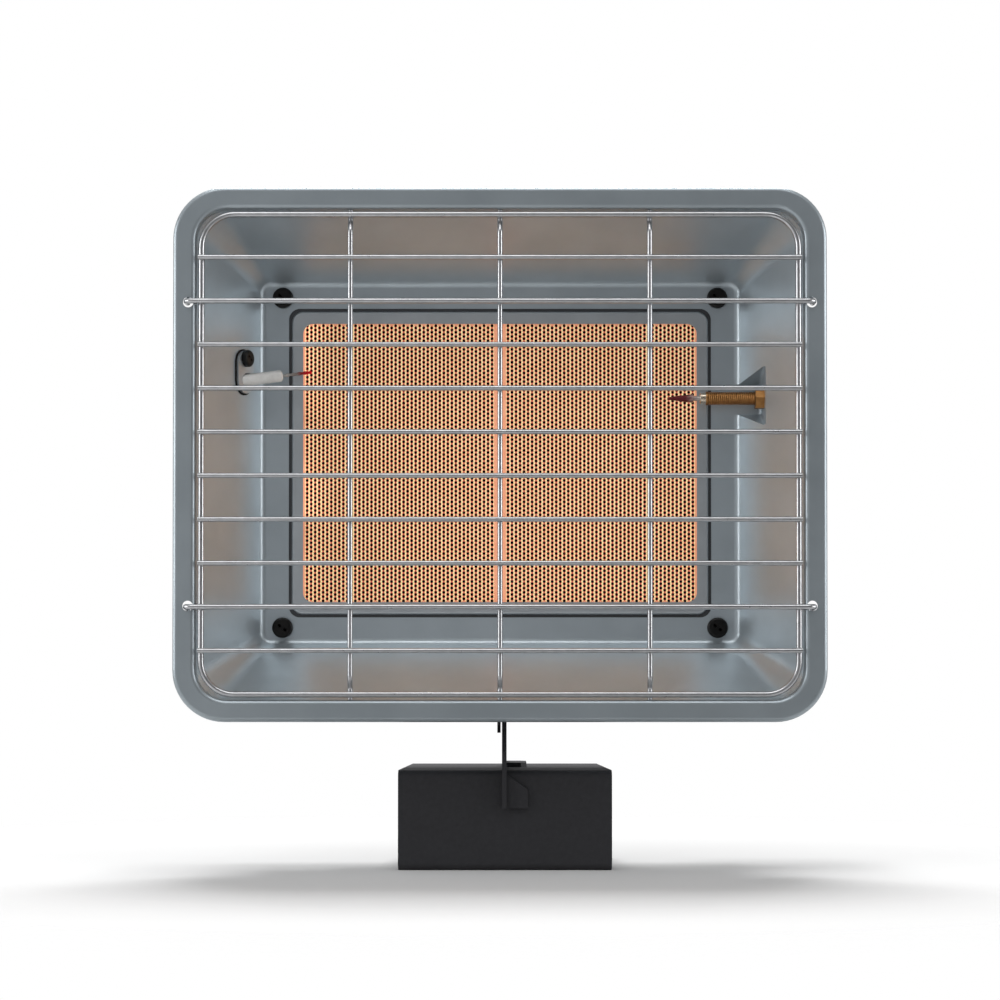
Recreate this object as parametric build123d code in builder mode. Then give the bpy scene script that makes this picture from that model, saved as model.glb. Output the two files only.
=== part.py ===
from build123d import *
import os
from math import atan2, cos, radians, sin, tan

# Gas radiant heater head on a small bent-sheet stand, in millimetres.
# +Z is up and the heater faces -Y. Heights start at the underside of the stand.
# X = 0 is the middle of the head and Y = 0 is the middle of the stand's depth.
# A depth is a distance behind the flat front face of the reflector's rim.

# Head position
rim_face_y = -63.5
rim_below_hinge = 8.5

# Reflector
reflector_sheet = 0.8
rim_band_x = 10.1
rim_band_z = 9.75
rim_corner_radius = 22.5
rim_edge_radius = 2.0
rim_lip_depth = 6.0
mouth_corner_radius = 13.4
mouth_bend_radius = 2.2
skirt_depth = 5.0
dish_depth = 50.0
dish_flare_x = 24.1
dish_flare_z = 25.2
floor_margin_x = 15.8
floor_margin_z = 15.3
floor_corner_radius = 5.0
floor_bend_radius = 3.4
floor_opening_margin_x = 3.5
floor_opening_margin_z = 3.9
floor_opening_radius = 5.0

# Ceramic plaques and the frame that holds them
plaque_width = 92.0
plaque_height = 132.0
plaque_thickness = 13.0
plaque_edge_chamfer = 0.6
plaque_overlap = 3.0
frame_sheet = 1.0
frame_window_radius = 4.5
frame_rise = 1.2
frame_step_gap = 1.3
frame_step_radius = 1.0
gasket_thickness = 2.0
gasket_lip = 1.0
gasket_clearance = 0.05
gasket_window_inset = 0.5

# Burner housing behind the plaques
housing_sheet = 1.0
housing_flange = 9.0
housing_flange_height_margin = 11.0
housing_corner_radius = 8.0
housing_shoulder = 6.0
plenum_depth = 25.0
housing_edge_radius = 3.0

# Fasteners: shank diameter, head diameter and height, nut across flats and height
burner_screw_diameter = 5.0
burner_screw_head_diameter = 9.3
burner_screw_head_height = 2.8
burner_nut_flats = 8.0
burner_nut_height = 4.0
burner_screw_inset_x = 5.8
burner_screw_inset_z = 5.4
small_screw_diameter = 4.0
small_screw_head_diameter = 7.6
small_screw_head_height = 2.4
small_nut_flats = 7.0
small_nut_height = 3.2
screw_clearance = 0.2
thread_clearance = 0.02
head_rounding = 1.2
screw_tail = 1.0

# Guard of welded wire
ring_gap_x = 2.3
ring_gap_z = 2.25
ring_corner_radius = 14.3
ring_wire = 2.6
ring_depth = 1.1
cross_wire = 2.2
hook_wire = 2.4
upright_wire = 2.2
wires_each_side = 5
hook_wire_row = 3.5
upright_spacing = 65.0
uprights = 3
weld_depth = 0.1
upright_overhang = 0.9
joggle_run = 4.0
joggle_start = 3.0
joggle_radius = 3.0
hook_hole_diameter = 4.6
hook_hole_inset_x = 6.7
hook_hole_inset_z = 0.4
hook_wire_inset_x = 5.8
hook_reach = 8.0
hook_tail = 8.0
hook_bend_radius = 2.6

# Thermocouple in a pressed pocket of the right wall
pocket_pad_rise = 10.5
pocket_edge_radius = 1.6
pocket_height = 28.6
pocket_front_half = 13.8
pocket_floor_half = 6.7
pocket_front_depth = 20.0
probe_depth = 39.5
probe_height = 28.1
sleeve_diameter = 6.2
sleeve_inside = 26.0
sleeve_outside = 6.7
sleeve_collar_diameter = 5.0
sleeve_collar_length = 2.7
probe_shaft_diameter = 2.2
probe_shaft_length = 3.1
probe_tip_length = 11.2
probe_base_diameter = 4.0
probe_point_diameter = 1.2
sleeve_nut_flats = 9.0
sleeve_nut_thickness = 4.0
sleeve_clearance = 0.2

# Ignition electrode on the left wall
electrode_depth = 36.8
electrode_height = 35.85
electrode_tip_inset = 10.0
electrode_tip_depth = 41.0
electrode_tip_height = 38.45
insulator_diameter = 5.3
insulator_outside = 11.3
insulator_tip_chamfer = 0.8
electrode_wire = 1.7
electrode_wire_length = 13.3
electrode_wire_inside = 4.0
electrode_plate_length = 19.2
electrode_plate_width = 12.0
electrode_plate_sheet = 1.0
electrode_pad_sheet = 0.5
electrode_pad_margin = 0.7
electrode_plate_clearance = 0.5
electrode_plate_rise = 3.7
electrode_screw_rise = 9.8
insulator_clearance = 0.3

# Rear strap that carries the gas valve and the igniter
strap_inset = 4.0
strap_height = 40.0
strap_sheet = 1.5
strap_corner_radius = 6.0
strap_drop = 31.75
strap_lip_depth = 7.0
strap_lip_inset = 40.0
strap_screw_inset = 13.0
strap_screw_z = 13.5

# Mixing tube and injector
tube_diameter = 20.0
tube_wall = 1.5
tube_reach = 119.0
throat_diameter = 12.0
throat_length = 14.0
bell_length = 22.0
tube_flange_width = 21.0
tube_flange_length = 44.0
tube_flange_thickness = 2.0
tube_screw_spacing = 33.0
tube_outside = 16.0
air_window_start = 3.0
air_window_length = 7.5
air_window_width = 8.0
air_windows = 4
tube_end_wall = 3.0
tube_screw_tail = 2.0
injector_thread = 8.0
injector_flats = 12.0
injector_hex_length = 3.4
injector_nose_length = 5.0
injector_nose_diameter = 4.0
injector_hole = 0.9
spreader_height = 36.0
spreader_width = 16.0
spreader_foot = 12.0
spreader_gap = 14.0
spreader_sheet = 1.0
spreader_corner_radius = 2.0

# Gas valve, its spindle and knob
control_inset = 16.0
valve_diameter = 20.0
valve_length = 27.8
valve_outlet_diameter = 14.0
valve_neck_diameter = 10.0
valve_neck_length = 7.2
valve_neck_nut_flats = 14.0
valve_neck_nut_thickness = 4.0
valve_boss_diameter = 9.0
valve_boss_length = 3.0
inlet_hex_flats = 17.0
inlet_hex_end = 15.0
inlet_thread_diameter = 13.16
inlet_thread_length = 12.0
inlet_bore = 7.0
spindle_diameter = 6.0
spindle_clearance = 0.06
spindle_start = 11.8
spindle_flat = 1.0
push_rod_diameter = 3.0
push_rod_length = 10.0
press_travel = 4.0
knob_gap = 0.5
knob_diameter = 28.0
knob_skirt_diameter = 35.0
knob_skirt_height = 5.0
knob_length = 26.0
knob_bore_depth = 20.0
knob_flutes = 10
knob_flute_diameter = 5.0
knob_edge_radius = 2.0

# Push-button igniter
igniter_diameter = 18.0
igniter_length = 36.0
igniter_flange_diameter = 24.0
igniter_flange_thickness = 3.0
igniter_nut_flats = 24.0
igniter_nut_thickness = 6.0
igniter_boot_diameter = 8.0
igniter_boot_length = 7.0
button_diameter = 12.0
button_clearance = 0.1
button_length = 18.0
button_stand_out = 9.0
button_travel = 5.0

# Leads
thermocouple_lead_diameter = 2.0
ignition_lead_diameter = 3.5
lead_boot_diameter = 8.0
lead_boot_length = 10.0
lead_boot_cover = 6.0
lead_straight = 5.0
thermocouple_lead_straight = 9.5
thermocouple_lead_bow = 12.0
thermocouple_lead_bow_drop = 24.0
thermocouple_lead_lower_bow = 7.0
thermocouple_lead_lower_rise = 12.0
thermocouple_lead_end = 18.0
ignition_lead_bow = 15.8
ignition_lead_bow_drop = 27.6
ignition_lead_lower_bow = 10.5
ignition_lead_lower_rise = 13.0
ignition_lead_end = 9.8
lead_nut_flats = 9.0
lead_nut_length = 9.0

# Tilt hinge between head and stand
hinge_depth = 40.0
hinge_z = 74.0
hinge_bolt_diameter = 6.0
hinge_clearance = 0.05
hinge_face_gap = 0.05
hinge_boss_radius = 9.0
hinge_washer_diameter = 14.0
hinge_washer_thickness = 1.2
hinge_bolt_head_diameter = 14.0
hinge_bolt_head_height = 3.0
hinge_bolt_length = 22.0
wing_hub_diameter = 11.0
wing_hub_length = 8.0
wing_span = 30.0
wing_height = 9.0
wing_thickness = 2.6
wing_root_x = 6.4
wing_lower_bow = 9.0
wing_lower_bow_x = 3.15
wing_upper_bow = 10.8
wing_upper_bow_x = 12.15

# Head side bracket
bracket_sheet = 1.5
bracket_face_x = 0.3
bracket_tip_radius = 8.0
bracket_tip_drop = 6.0
bracket_knee_depth = 73.0
bracket_knee_drop = 12.75
bracket_knee_radius = 7.0
bracket_flange_width = 36.0
bracket_flange_depth = 69.0
bracket_flange_length = 20.0
bracket_screw_spacing = 15.0

# Stand
stand_sheet = 2.0
stand_web_x = 0.9
stand_web_front = 4.5
stand_web_front_top = 52.0
stand_web_rear = 22.5
stand_web_rear_height = 4.0
front_flange_width = 11.3
front_flange_bottom = 27.4
front_flange_top = 42.2
front_flange_shoulder = 35.7
top_flange_width = 11.1
top_flange_start = -6.5
top_flange_length = 29.0
top_flange_chamfer = 2.5
base_sheet = 1.5
base_width = 94.2
base_rear_width = 86.2
base_depth = 87.0
base_height = 44.0
base_bend_radius = 3.0
base_bottom_flange = 14.0
base_centre_x = 2.2

# Places worked out from the sizes above
floor_width = 2 * (plaque_width + floor_margin_x)
floor_height = plaque_height + 2 * floor_margin_z
floor_opening_width = 2 * (plaque_width + floor_opening_margin_x)
floor_opening_height = plaque_height + 2 * floor_opening_margin_z
mouth_width = floor_width + 2 * dish_flare_x
mouth_height = floor_height + 2 * dish_flare_z
rim_width = mouth_width + 2 * rim_band_x
rim_height = mouth_height + 2 * rim_band_z
head_centre_z = hinge_z + rim_height / 2 - rim_below_hinge
half_floor_width = floor_width / 2
half_mouth_width = mouth_width / 2
wall_angle = atan2(dish_flare_x, dish_depth - skirt_depth)
pocket_pad_x = half_floor_width + pocket_pad_rise
sleeve_tip_x = pocket_pad_x - sleeve_inside
sleeve_end_x = pocket_pad_x + sleeve_outside
electrode_tip_x = electrode_tip_inset - half_floor_width
ring_width = mouth_width - 2 * ring_gap_x
ring_height = mouth_height - 2 * ring_gap_z
wire_pitch = ring_height / (2 * wires_each_side + 1)
hook_hole_x = rim_width / 2 - hook_hole_inset_x
hook_wire_x = rim_width / 2 - hook_wire_inset_x
frame_depth = dish_depth + reflector_sheet
plaque_depth = frame_depth + frame_sheet
frame_front_depth = frame_depth - frame_rise
frame_step_width = floor_opening_width - 2 * frame_step_gap
frame_step_height = floor_opening_height - 2 * frame_step_gap
window_width = 2 * (plaque_width - plaque_overlap)
window_height = plaque_height - 2 * plaque_overlap
cavity_width = 2 * (plaque_width + gasket_thickness)
cavity_height = plaque_height + 2 * gasket_thickness
cavity_depth = plaque_thickness + gasket_lip
plenum_width = cavity_width - 2 * housing_shoulder
plenum_height = cavity_height - 2 * housing_shoulder
shoulder_depth = plaque_depth + cavity_depth
plenum_rear_depth = shoulder_depth + plenum_depth
housing_rear_depth = plenum_rear_depth + housing_sheet
flange_width = cavity_width + 2 * (housing_sheet + housing_flange)
flange_height = cavity_height + 2 * (housing_sheet + housing_flange_height_margin)
burner_screw_x = flange_width / 2 - burner_screw_inset_x
burner_screw_z = flange_height / 2 - burner_screw_inset_z
housing_flange_rear = plaque_depth + housing_sheet
tube_depth = shoulder_depth + housing_sheet + plenum_depth / 2
tube_wall_x = plenum_width / 2 + housing_sheet
strap_rear_depth = housing_rear_depth + strap_sheet
strap_width = rim_width - 2 * strap_inset
strap_lip_length = strap_width - 2 * strap_lip_inset
strap_screw_x = plenum_width / 2 - strap_screw_inset
strap_centre_z = head_centre_z - strap_drop
valve_x = strap_width / 2 - control_inset
igniter_x = -valve_x
valve_front_depth = housing_rear_depth - valve_length
spindle_start_depth = housing_rear_depth - spindle_start
tube_end_x = tube_wall_x - tube_reach
neck_end_depth = housing_rear_depth + valve_neck_length
knob_depth = neck_end_depth + press_travel + knob_gap
cross_depth = ring_depth - (ring_wire + cross_wire) / 2 + weld_depth
hook_depth = ring_depth - (ring_wire + hook_wire) / 2 + weld_depth
upright_depth = cross_depth + (cross_wire + upright_wire) / 2 - weld_depth
upright_end_depth = ring_depth + (ring_wire + upright_wire) / 2 - weld_depth
hook_row_height = hook_wire_row * wire_pitch
base_front_y = -base_depth / 2
hinge_y = rim_face_y + hinge_depth
front = (0, -1, 0)
rear = (0, 1, 0)
right = (1, 0, 0)


def head_plane(depth, x=0.0, height=0.0):
    """Plane that faces the front, at a depth, placed from the middle of the head."""
    return Plane(
        origin=(x, rim_face_y + depth, head_centre_z + height), x_dir=right, z_dir=front
    )


def side_plane(x, y=0.0, z=0.0):
    """Plane that faces right, with its own axes along Y and Z."""
    return Plane(origin=(x, y, z), x_dir=rear, z_dir=right)


def pocket_form(wall):
    """The pocket pressed out of the right wall, with a flat pad and rounded edges."""
    half_floor_pocket = pocket_floor_half + wall
    flare = (pocket_front_half - pocket_floor_half) * tan(wall_angle) / pocket_pad_rise
    half_front_pocket = half_floor_pocket + flare * (dish_depth - pocket_front_depth)
    start_x = half_floor_width - floor_bend_radius
    with BuildPart() as form:
        with BuildSketch(side_plane(start_x)):
            Polygon(
                (rim_face_y + pocket_front_depth, head_centre_z + pocket_height - half_front_pocket),
                (rim_face_y + dish_depth + wall, head_centre_z + pocket_height - half_floor_pocket),
                (rim_face_y + dish_depth + wall, head_centre_z + pocket_height + half_floor_pocket),
                (rim_face_y + pocket_front_depth, head_centre_z + pocket_height + half_front_pocket),
                align=None,
            )
        extrude(amount=pocket_pad_x + wall - start_x)
        fillet(form.faces().sort_by(Axis.X)[-1].edges(), radius=pocket_edge_radius + wall)
    return form.part


def dish_form(wall):
    """The space inside the dish, grown outwards by a wall."""
    with BuildPart() as form:
        with BuildSketch(head_plane(0)):
            RectangleRounded(
                mouth_width + 2 * wall, mouth_height + 2 * wall, mouth_corner_radius + wall
            )
        extrude(amount=-skirt_depth)
        with BuildSketch(head_plane(skirt_depth)):
            RectangleRounded(
                mouth_width + 2 * wall, mouth_height + 2 * wall, mouth_corner_radius + wall
            )
        with BuildSketch(head_plane(dish_depth + wall)):
            RectangleRounded(floor_width + wall, floor_height + wall, floor_corner_radius + wall)
        loft()
        fillet(form.faces().sort_by(Axis.Y)[-1].edges(), radius=floor_bend_radius + wall)
        add(pocket_form(wall))
    return form.part


def rim_form(wall):
    """The block of the rim, drawn in by a wall on its front and sides."""
    with BuildPart() as form:
        with BuildSketch(head_plane(wall)):
            RectangleRounded(rim_width - 2 * wall, rim_height - 2 * wall, rim_corner_radius - wall)
        extrude(amount=wall - rim_lip_depth)
        fillet(form.faces().sort_by(Axis.Y)[0].edges(), radius=rim_edge_radius - wall)
    return form.part


# Left wall of the dish at the ignition electrode
electrode_wall_x = -half_mouth_width + (electrode_depth - skirt_depth) * tan(wall_angle)
left_wall = Plane(
    origin=(electrode_wall_x, rim_face_y + electrode_depth, head_centre_z + electrode_height),
    x_dir=(0, 0, 1),
    z_dir=(cos(wall_angle), -sin(wall_angle), 0),
)
electrode_start = left_wall.origin
electrode_tip = Vector(
    electrode_tip_x, rim_face_y + electrode_tip_depth, head_centre_z + electrode_tip_height
)
electrode_direction = (electrode_tip - electrode_start).normalized()
electrode_outer_end = electrode_start - electrode_direction * insulator_outside
electrode_plane = Plane(origin=electrode_outer_end, x_dir=(0, 0, 1), z_dir=electrode_direction)
insulator_length = (electrode_tip - electrode_outer_end).length
probe_axis_y = rim_face_y + probe_depth
probe_axis_z = head_centre_z + probe_height

# Reflector: rim with a turned-back lip, skirt, sloping walls, floor and pocket
with BuildPart() as reflector:
    add(rim_form(0))
    add(rim_form(reflector_sheet), mode=Mode.SUBTRACT)
    add(dish_form(reflector_sheet))
    add(dish_form(0), mode=Mode.SUBTRACT)
    mouth_edges = reflector.faces().sort_by(Axis.Y)[0].inner_wires()[0].edges()
    fillet(mouth_edges, radius=mouth_bend_radius)
    with BuildSketch(head_plane(dish_depth)):
        RectangleRounded(floor_opening_width, floor_opening_height, floor_opening_radius)
        with GridLocations(2 * burner_screw_x, 2 * burner_screw_z, 2, 2):
            Circle(burner_screw_diameter / 2 + screw_clearance)
    extrude(amount=-reflector_sheet, mode=Mode.SUBTRACT)
    with BuildSketch(head_plane(0)):
        with GridLocations(2 * hook_hole_x, 2 * (hook_row_height - hook_hole_inset_z), 2, 2):
            Circle(hook_hole_diameter / 2)
    extrude(amount=-reflector_sheet, mode=Mode.SUBTRACT)
    with BuildSketch(side_plane(pocket_pad_x, probe_axis_y, probe_axis_z)):
        Circle(sleeve_diameter / 2 + sleeve_clearance)
    extrude(amount=reflector_sheet, mode=Mode.SUBTRACT)
    with BuildSketch(electrode_plane):
        Circle(insulator_diameter / 2 + insulator_clearance)
    extrude(amount=insulator_length, mode=Mode.SUBTRACT)
    with BuildSketch(left_wall):
        with Locations((electrode_screw_rise, 0)):
            Circle(small_screw_diameter / 2 + screw_clearance)
    extrude(amount=-2 * reflector_sheet, mode=Mode.SUBTRACT)
reflector.part.label = "reflector"

# Frame: its raised middle stands in the floor's opening, round the window to the plaques
with BuildPart() as burner_frame:
    with BuildSketch(head_plane(frame_depth)):
        RectangleRounded(flange_width, flange_height, housing_corner_radius)
        with GridLocations(2 * burner_screw_x, 2 * burner_screw_z, 2, 2):
            Circle(burner_screw_diameter / 2 + screw_clearance, mode=Mode.SUBTRACT)
    extrude(amount=-frame_sheet)
    with BuildSketch(head_plane(frame_front_depth)):
        RectangleRounded(frame_step_width, frame_step_height, floor_opening_radius)
    extrude(amount=-frame_rise)
    fillet(burner_frame.faces().sort_by(Axis.Y)[0].edges(), radius=frame_step_radius)
    with BuildSketch(head_plane(frame_front_depth + frame_sheet)):
        RectangleRounded(
            frame_step_width - 2 * frame_sheet,
            frame_step_height - 2 * frame_sheet,
            floor_opening_radius - frame_sheet,
        )
    extrude(amount=-frame_rise, mode=Mode.SUBTRACT)
    with BuildSketch(head_plane(frame_front_depth)):
        RectangleRounded(window_width, window_height, frame_window_radius)
    extrude(amount=-frame_sheet, mode=Mode.SUBTRACT)
burner_frame.part.label = "burner_frame"


def plaque(side):
    """One ceramic plaque, left (-1) or right (+1) of the middle."""
    with BuildPart() as block:
        with BuildSketch(head_plane(plaque_depth, side * plaque_width / 2)):
            Rectangle(plaque_width, plaque_height)
        extrude(amount=-plaque_thickness)
        chamfer(block.faces().filter_by(Axis.Y).edges(), length=plaque_edge_chamfer)
    return block


plaque_left = plaque(-1)
plaque_left.part.label = "plaque_left"
plaque_right = plaque(1)
plaque_right.part.label = "plaque_right"

# Fibre gasket round the plaques, with lips in front of and behind their edges
with BuildPart() as plaque_gasket:
    with BuildSketch(head_plane(plaque_depth - frame_rise)):
        RectangleRounded(
            frame_step_width - 2 * (frame_sheet + gasket_clearance),
            frame_step_height - 2 * (frame_sheet + gasket_clearance),
            floor_opening_radius - frame_sheet,
        )
        RectangleRounded(
            window_width + 2 * gasket_window_inset,
            window_height + 2 * gasket_window_inset,
            frame_window_radius,
            mode=Mode.SUBTRACT,
        )
    extrude(amount=-frame_rise)
    with BuildSketch(head_plane(plaque_depth)):
        RectangleRounded(
            cavity_width - 2 * gasket_clearance,
            cavity_height - 2 * gasket_clearance,
            housing_corner_radius - housing_sheet,
        )
        Rectangle(2 * plaque_width, plaque_height, mode=Mode.SUBTRACT)
    extrude(amount=-plaque_thickness)
    with BuildSketch(head_plane(plaque_depth + plaque_thickness)):
        RectangleRounded(
            cavity_width - 2 * gasket_clearance,
            cavity_height - 2 * gasket_clearance,
            housing_corner_radius - housing_sheet,
        )
        RectangleRounded(
            plenum_width, plenum_height, housing_corner_radius - housing_sheet, mode=Mode.SUBTRACT
        )
    extrude(amount=-gasket_lip)
plaque_gasket.part.label = "plaque_gasket"


def housing_form(wall):
    """The space inside the burner housing, grown outwards by a wall."""
    with BuildPart() as form:
        with BuildSketch(head_plane(plaque_depth)):
            RectangleRounded(
                cavity_width + 2 * wall,
                cavity_height + 2 * wall,
                housing_corner_radius - housing_sheet + wall,
            )
        extrude(amount=-cavity_depth - wall)
        with BuildSketch(head_plane(shoulder_depth)):
            RectangleRounded(
                plenum_width + 2 * wall,
                plenum_height + 2 * wall,
                housing_corner_radius - housing_sheet + wall,
            )
        extrude(amount=-plenum_depth - wall)
        rear_edges = form.faces().sort_by(Axis.Y)[-1].edges()
        fillet(rear_edges, radius=housing_edge_radius - housing_sheet + wall)
    return form.part


# Burner housing: flanged pan with a shoulder and a plenum behind the plaques
bracket_screw_y = rim_face_y + bracket_flange_depth + bracket_flange_length / 2
bracket_screw_x = bracket_face_x - bracket_flange_width / 2
plenum_bottom_z = head_centre_z - plenum_height / 2 - housing_sheet
with BuildPart() as burner_housing:
    with BuildSketch(head_plane(plaque_depth)):
        RectangleRounded(flange_width, flange_height, housing_corner_radius)
    extrude(amount=-housing_sheet)
    add(housing_form(housing_sheet))
    add(housing_form(0), mode=Mode.SUBTRACT)
    with BuildSketch(head_plane(plaque_depth)):
        with GridLocations(2 * burner_screw_x, 2 * burner_screw_z, 2, 2):
            Circle(burner_screw_diameter / 2 + screw_clearance)
    extrude(amount=-housing_sheet, mode=Mode.SUBTRACT)
    with BuildSketch(side_plane(plenum_width / 2, rim_face_y + tube_depth, strap_centre_z)):
        Circle(tube_diameter / 2 + screw_clearance)
        with GridLocations(0, tube_screw_spacing, 1, 2):
            Circle(small_screw_diameter / 2 + thread_clearance)
    extrude(amount=housing_sheet, mode=Mode.SUBTRACT)
    with BuildSketch(head_plane(plenum_rear_depth, 0, -strap_drop)):
        with GridLocations(2 * strap_screw_x, 2 * strap_screw_z, 2, 2):
            Circle(small_screw_diameter / 2 + screw_clearance)
    extrude(amount=-housing_sheet, mode=Mode.SUBTRACT)
    with BuildSketch(Plane.XY.offset(plenum_bottom_z)):
        with Locations((bracket_screw_x, bracket_screw_y)):
            with GridLocations(bracket_screw_spacing, 0, 2, 1):
                Circle(burner_screw_diameter / 2 + screw_clearance)
    extrude(amount=housing_sheet, mode=Mode.SUBTRACT)
burner_housing.part.label = "burner_housing"

# Screws and nuts that clamp reflector, frame and housing together at the corners
with BuildPart() as burner_screws:
    with Locations(head_plane(dish_depth)):
        with GridLocations(2 * burner_screw_x, 2 * burner_screw_z, 2, 2):
            Cylinder(
                burner_screw_head_diameter / 2,
                burner_screw_head_height,
                align=(Align.CENTER, Align.CENTER, Align.MIN),
            )
            Cylinder(
                burner_screw_diameter / 2,
                housing_flange_rear - dish_depth + burner_nut_height + screw_tail,
                align=(Align.CENTER, Align.CENTER, Align.MAX),
            )
    fillet(
        burner_screws.faces().group_by(Axis.Y)[0].edges().filter_by(GeomType.CIRCLE),
        radius=head_rounding,
    )
burner_screws.part.label = "burner_screws"

with BuildPart() as burner_nuts:
    with BuildSketch(head_plane(housing_flange_rear)):
        with GridLocations(2 * burner_screw_x, 2 * burner_screw_z, 2, 2):
            RegularPolygon(burner_nut_flats / 2, 6, major_radius=False)
            Circle(burner_screw_diameter / 2 + thread_clearance, mode=Mode.SUBTRACT)
    extrude(amount=-burner_nut_height)
burner_nuts.part.label = "burner_nuts"

# Guard: ring, plain cross wires, two hooked cross wires and joggled upright wires
with BuildPart() as guard_ring:
    with BuildLine(head_plane(ring_depth)) as ring_path:
        FilletPolyline(
            (-ring_width / 2, -ring_height / 2),
            (ring_width / 2, -ring_height / 2),
            (ring_width / 2, ring_height / 2),
            (-ring_width / 2, ring_height / 2),
            radius=ring_corner_radius,
            close=True,
        )
    with BuildSketch(Plane(origin=ring_path.line @ 0, z_dir=ring_path.line % 0)):
        Circle(ring_wire / 2)
    sweep()
guard_ring.part.label = "guard_ring"

cross_length = ring_width + ring_wire
rows = [row + 0.5 for row in range(wires_each_side)]
plain_rows = [row for row in rows if row != hook_wire_row]
with BuildPart() as guard_cross_wires:
    with BuildSketch(side_plane(-cross_length / 2, rim_face_y + cross_depth, head_centre_z)):
        with Locations([(0, side * row * wire_pitch) for row in plain_rows for side in (-1, 1)]):
            Circle(cross_wire / 2)
    extrude(amount=cross_length)
guard_cross_wires.part.label = "guard_cross_wires"

with BuildPart() as guard_hook_wires:
    for side in (-1, 1):
        row_z = head_centre_z + side * hook_row_height
        front_y = rim_face_y + hook_depth
        rear_y = rim_face_y + hook_reach
        with BuildLine() as hook_path:
            FilletPolyline(
                (-hook_wire_x, rear_y, row_z + side * hook_tail),
                (-hook_wire_x, rear_y, row_z),
                (-hook_wire_x, front_y, row_z),
                (hook_wire_x, front_y, row_z),
                (hook_wire_x, rear_y, row_z),
                (hook_wire_x, rear_y, row_z + side * hook_tail),
                radius=hook_bend_radius,
            )
        with BuildSketch(Plane(origin=hook_path.line @ 0, z_dir=hook_path.line % 0)):
            Circle(hook_wire / 2)
        sweep(path=hook_path.line)
guard_hook_wires.part.label = "guard_hook_wires"

upright_half = (ring_height + ring_wire) / 2 + upright_overhang
joggle_outer = ring_height / 2 - joggle_start
joggle_inner = joggle_outer - joggle_run
with BuildPart() as guard_upright_wires:
    for column in range(uprights):
        upright_x = (column - (uprights - 1) / 2) * upright_spacing
        with BuildLine(side_plane(upright_x, rim_face_y, head_centre_z)) as upright_path:
            FilletPolyline(
                (upright_end_depth, -upright_half),
                (upright_end_depth, -joggle_outer),
                (upright_depth, -joggle_inner),
                (upright_depth, joggle_inner),
                (upright_end_depth, joggle_outer),
                (upright_end_depth, upright_half),
                radius=joggle_radius,
            )
        with BuildSketch(Plane(origin=upright_path.line @ 0, z_dir=upright_path.line % 0)):
            Circle(upright_wire / 2)
        sweep(path=upright_path.line)
guard_upright_wires.part.label = "guard_upright_wires"

# Thermocouple: brass sleeve with a collar, two nuts, probe, copper lead and its nut
with BuildPart() as thermocouple_sleeve:
    with BuildSketch(side_plane(sleeve_tip_x, probe_axis_y, probe_axis_z)):
        Circle(sleeve_diameter / 2)
    extrude(amount=sleeve_end_x - sleeve_tip_x)
    with BuildSketch(side_plane(sleeve_tip_x, probe_axis_y, probe_axis_z)):
        Circle(sleeve_collar_diameter / 2)
    extrude(amount=-sleeve_collar_length)
thermocouple_sleeve.part.label = "thermocouple_sleeve"

with BuildPart() as thermocouple_nuts:
    for nut_x in (pocket_pad_x - sleeve_nut_thickness, pocket_pad_x + reflector_sheet):
        with BuildSketch(side_plane(nut_x, probe_axis_y, probe_axis_z)):
            RegularPolygon(sleeve_nut_flats / 2, 6, major_radius=False)
            Circle(sleeve_diameter / 2 + thread_clearance, mode=Mode.SUBTRACT)
        extrude(amount=sleeve_nut_thickness)
thermocouple_nuts.part.label = "thermocouple_nuts"

probe_shaft_x = sleeve_tip_x - sleeve_collar_length
probe_cone_x = probe_shaft_x - probe_shaft_length
with BuildPart() as thermocouple_probe:
    with BuildSketch(Plane(origin=(0, probe_axis_y, probe_axis_z), x_dir=right, z_dir=front)):
        Polygon(
            (probe_shaft_x, 0),
            (probe_shaft_x, probe_shaft_diameter / 2),
            (probe_cone_x, probe_shaft_diameter / 2),
            (probe_cone_x, probe_base_diameter / 2),
            (probe_cone_x - probe_tip_length, probe_point_diameter / 2),
            (probe_cone_x - probe_tip_length, 0),
            align=None,
        )
    revolve(axis=Axis((0, probe_axis_y, probe_axis_z), right))
thermocouple_probe.part.label = "thermocouple_probe"


def route_radii(points):
    """Bend radii for a lead: each arc is as large as its two runs allow."""
    corners = [Vector(point) for point in points]
    radii = []
    for before, corner, after in zip(corners, corners[1:], corners[2:]):
        arriving = corner - before
        leaving = after - corner
        half_turn = radians(arriving.get_angle(leaving) / 2)
        radii.append(0.45 * min(arriving.length, leaving.length) / tan(half_turn))
    return radii


valve_boss_depth = valve_front_depth - valve_boss_length
valve_y = rim_face_y + valve_front_depth
thermocouple_route = [
    (sleeve_end_x, probe_axis_y, probe_axis_z),
    (sleeve_end_x + thermocouple_lead_straight, probe_axis_y, probe_axis_z),
    (sleeve_end_x + thermocouple_lead_bow, probe_axis_y, probe_axis_z - thermocouple_lead_bow_drop),
    (sleeve_end_x + thermocouple_lead_lower_bow, probe_axis_y, strap_centre_z + thermocouple_lead_lower_rise),
    (valve_x, valve_y - valve_boss_length - thermocouple_lead_end, strap_centre_z),
    (valve_x, rim_face_y + valve_boss_depth, strap_centre_z),
]
with BuildPart() as thermocouple_lead:
    with BuildLine() as lead_path:
        FilletPolyline(*thermocouple_route, radius=route_radii(thermocouple_route))
    with BuildSketch(Plane(origin=lead_path.line @ 0, z_dir=lead_path.line % 0)):
        Circle(thermocouple_lead_diameter / 2)
    sweep()
thermocouple_lead.part.label = "thermocouple_lead"

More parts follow.
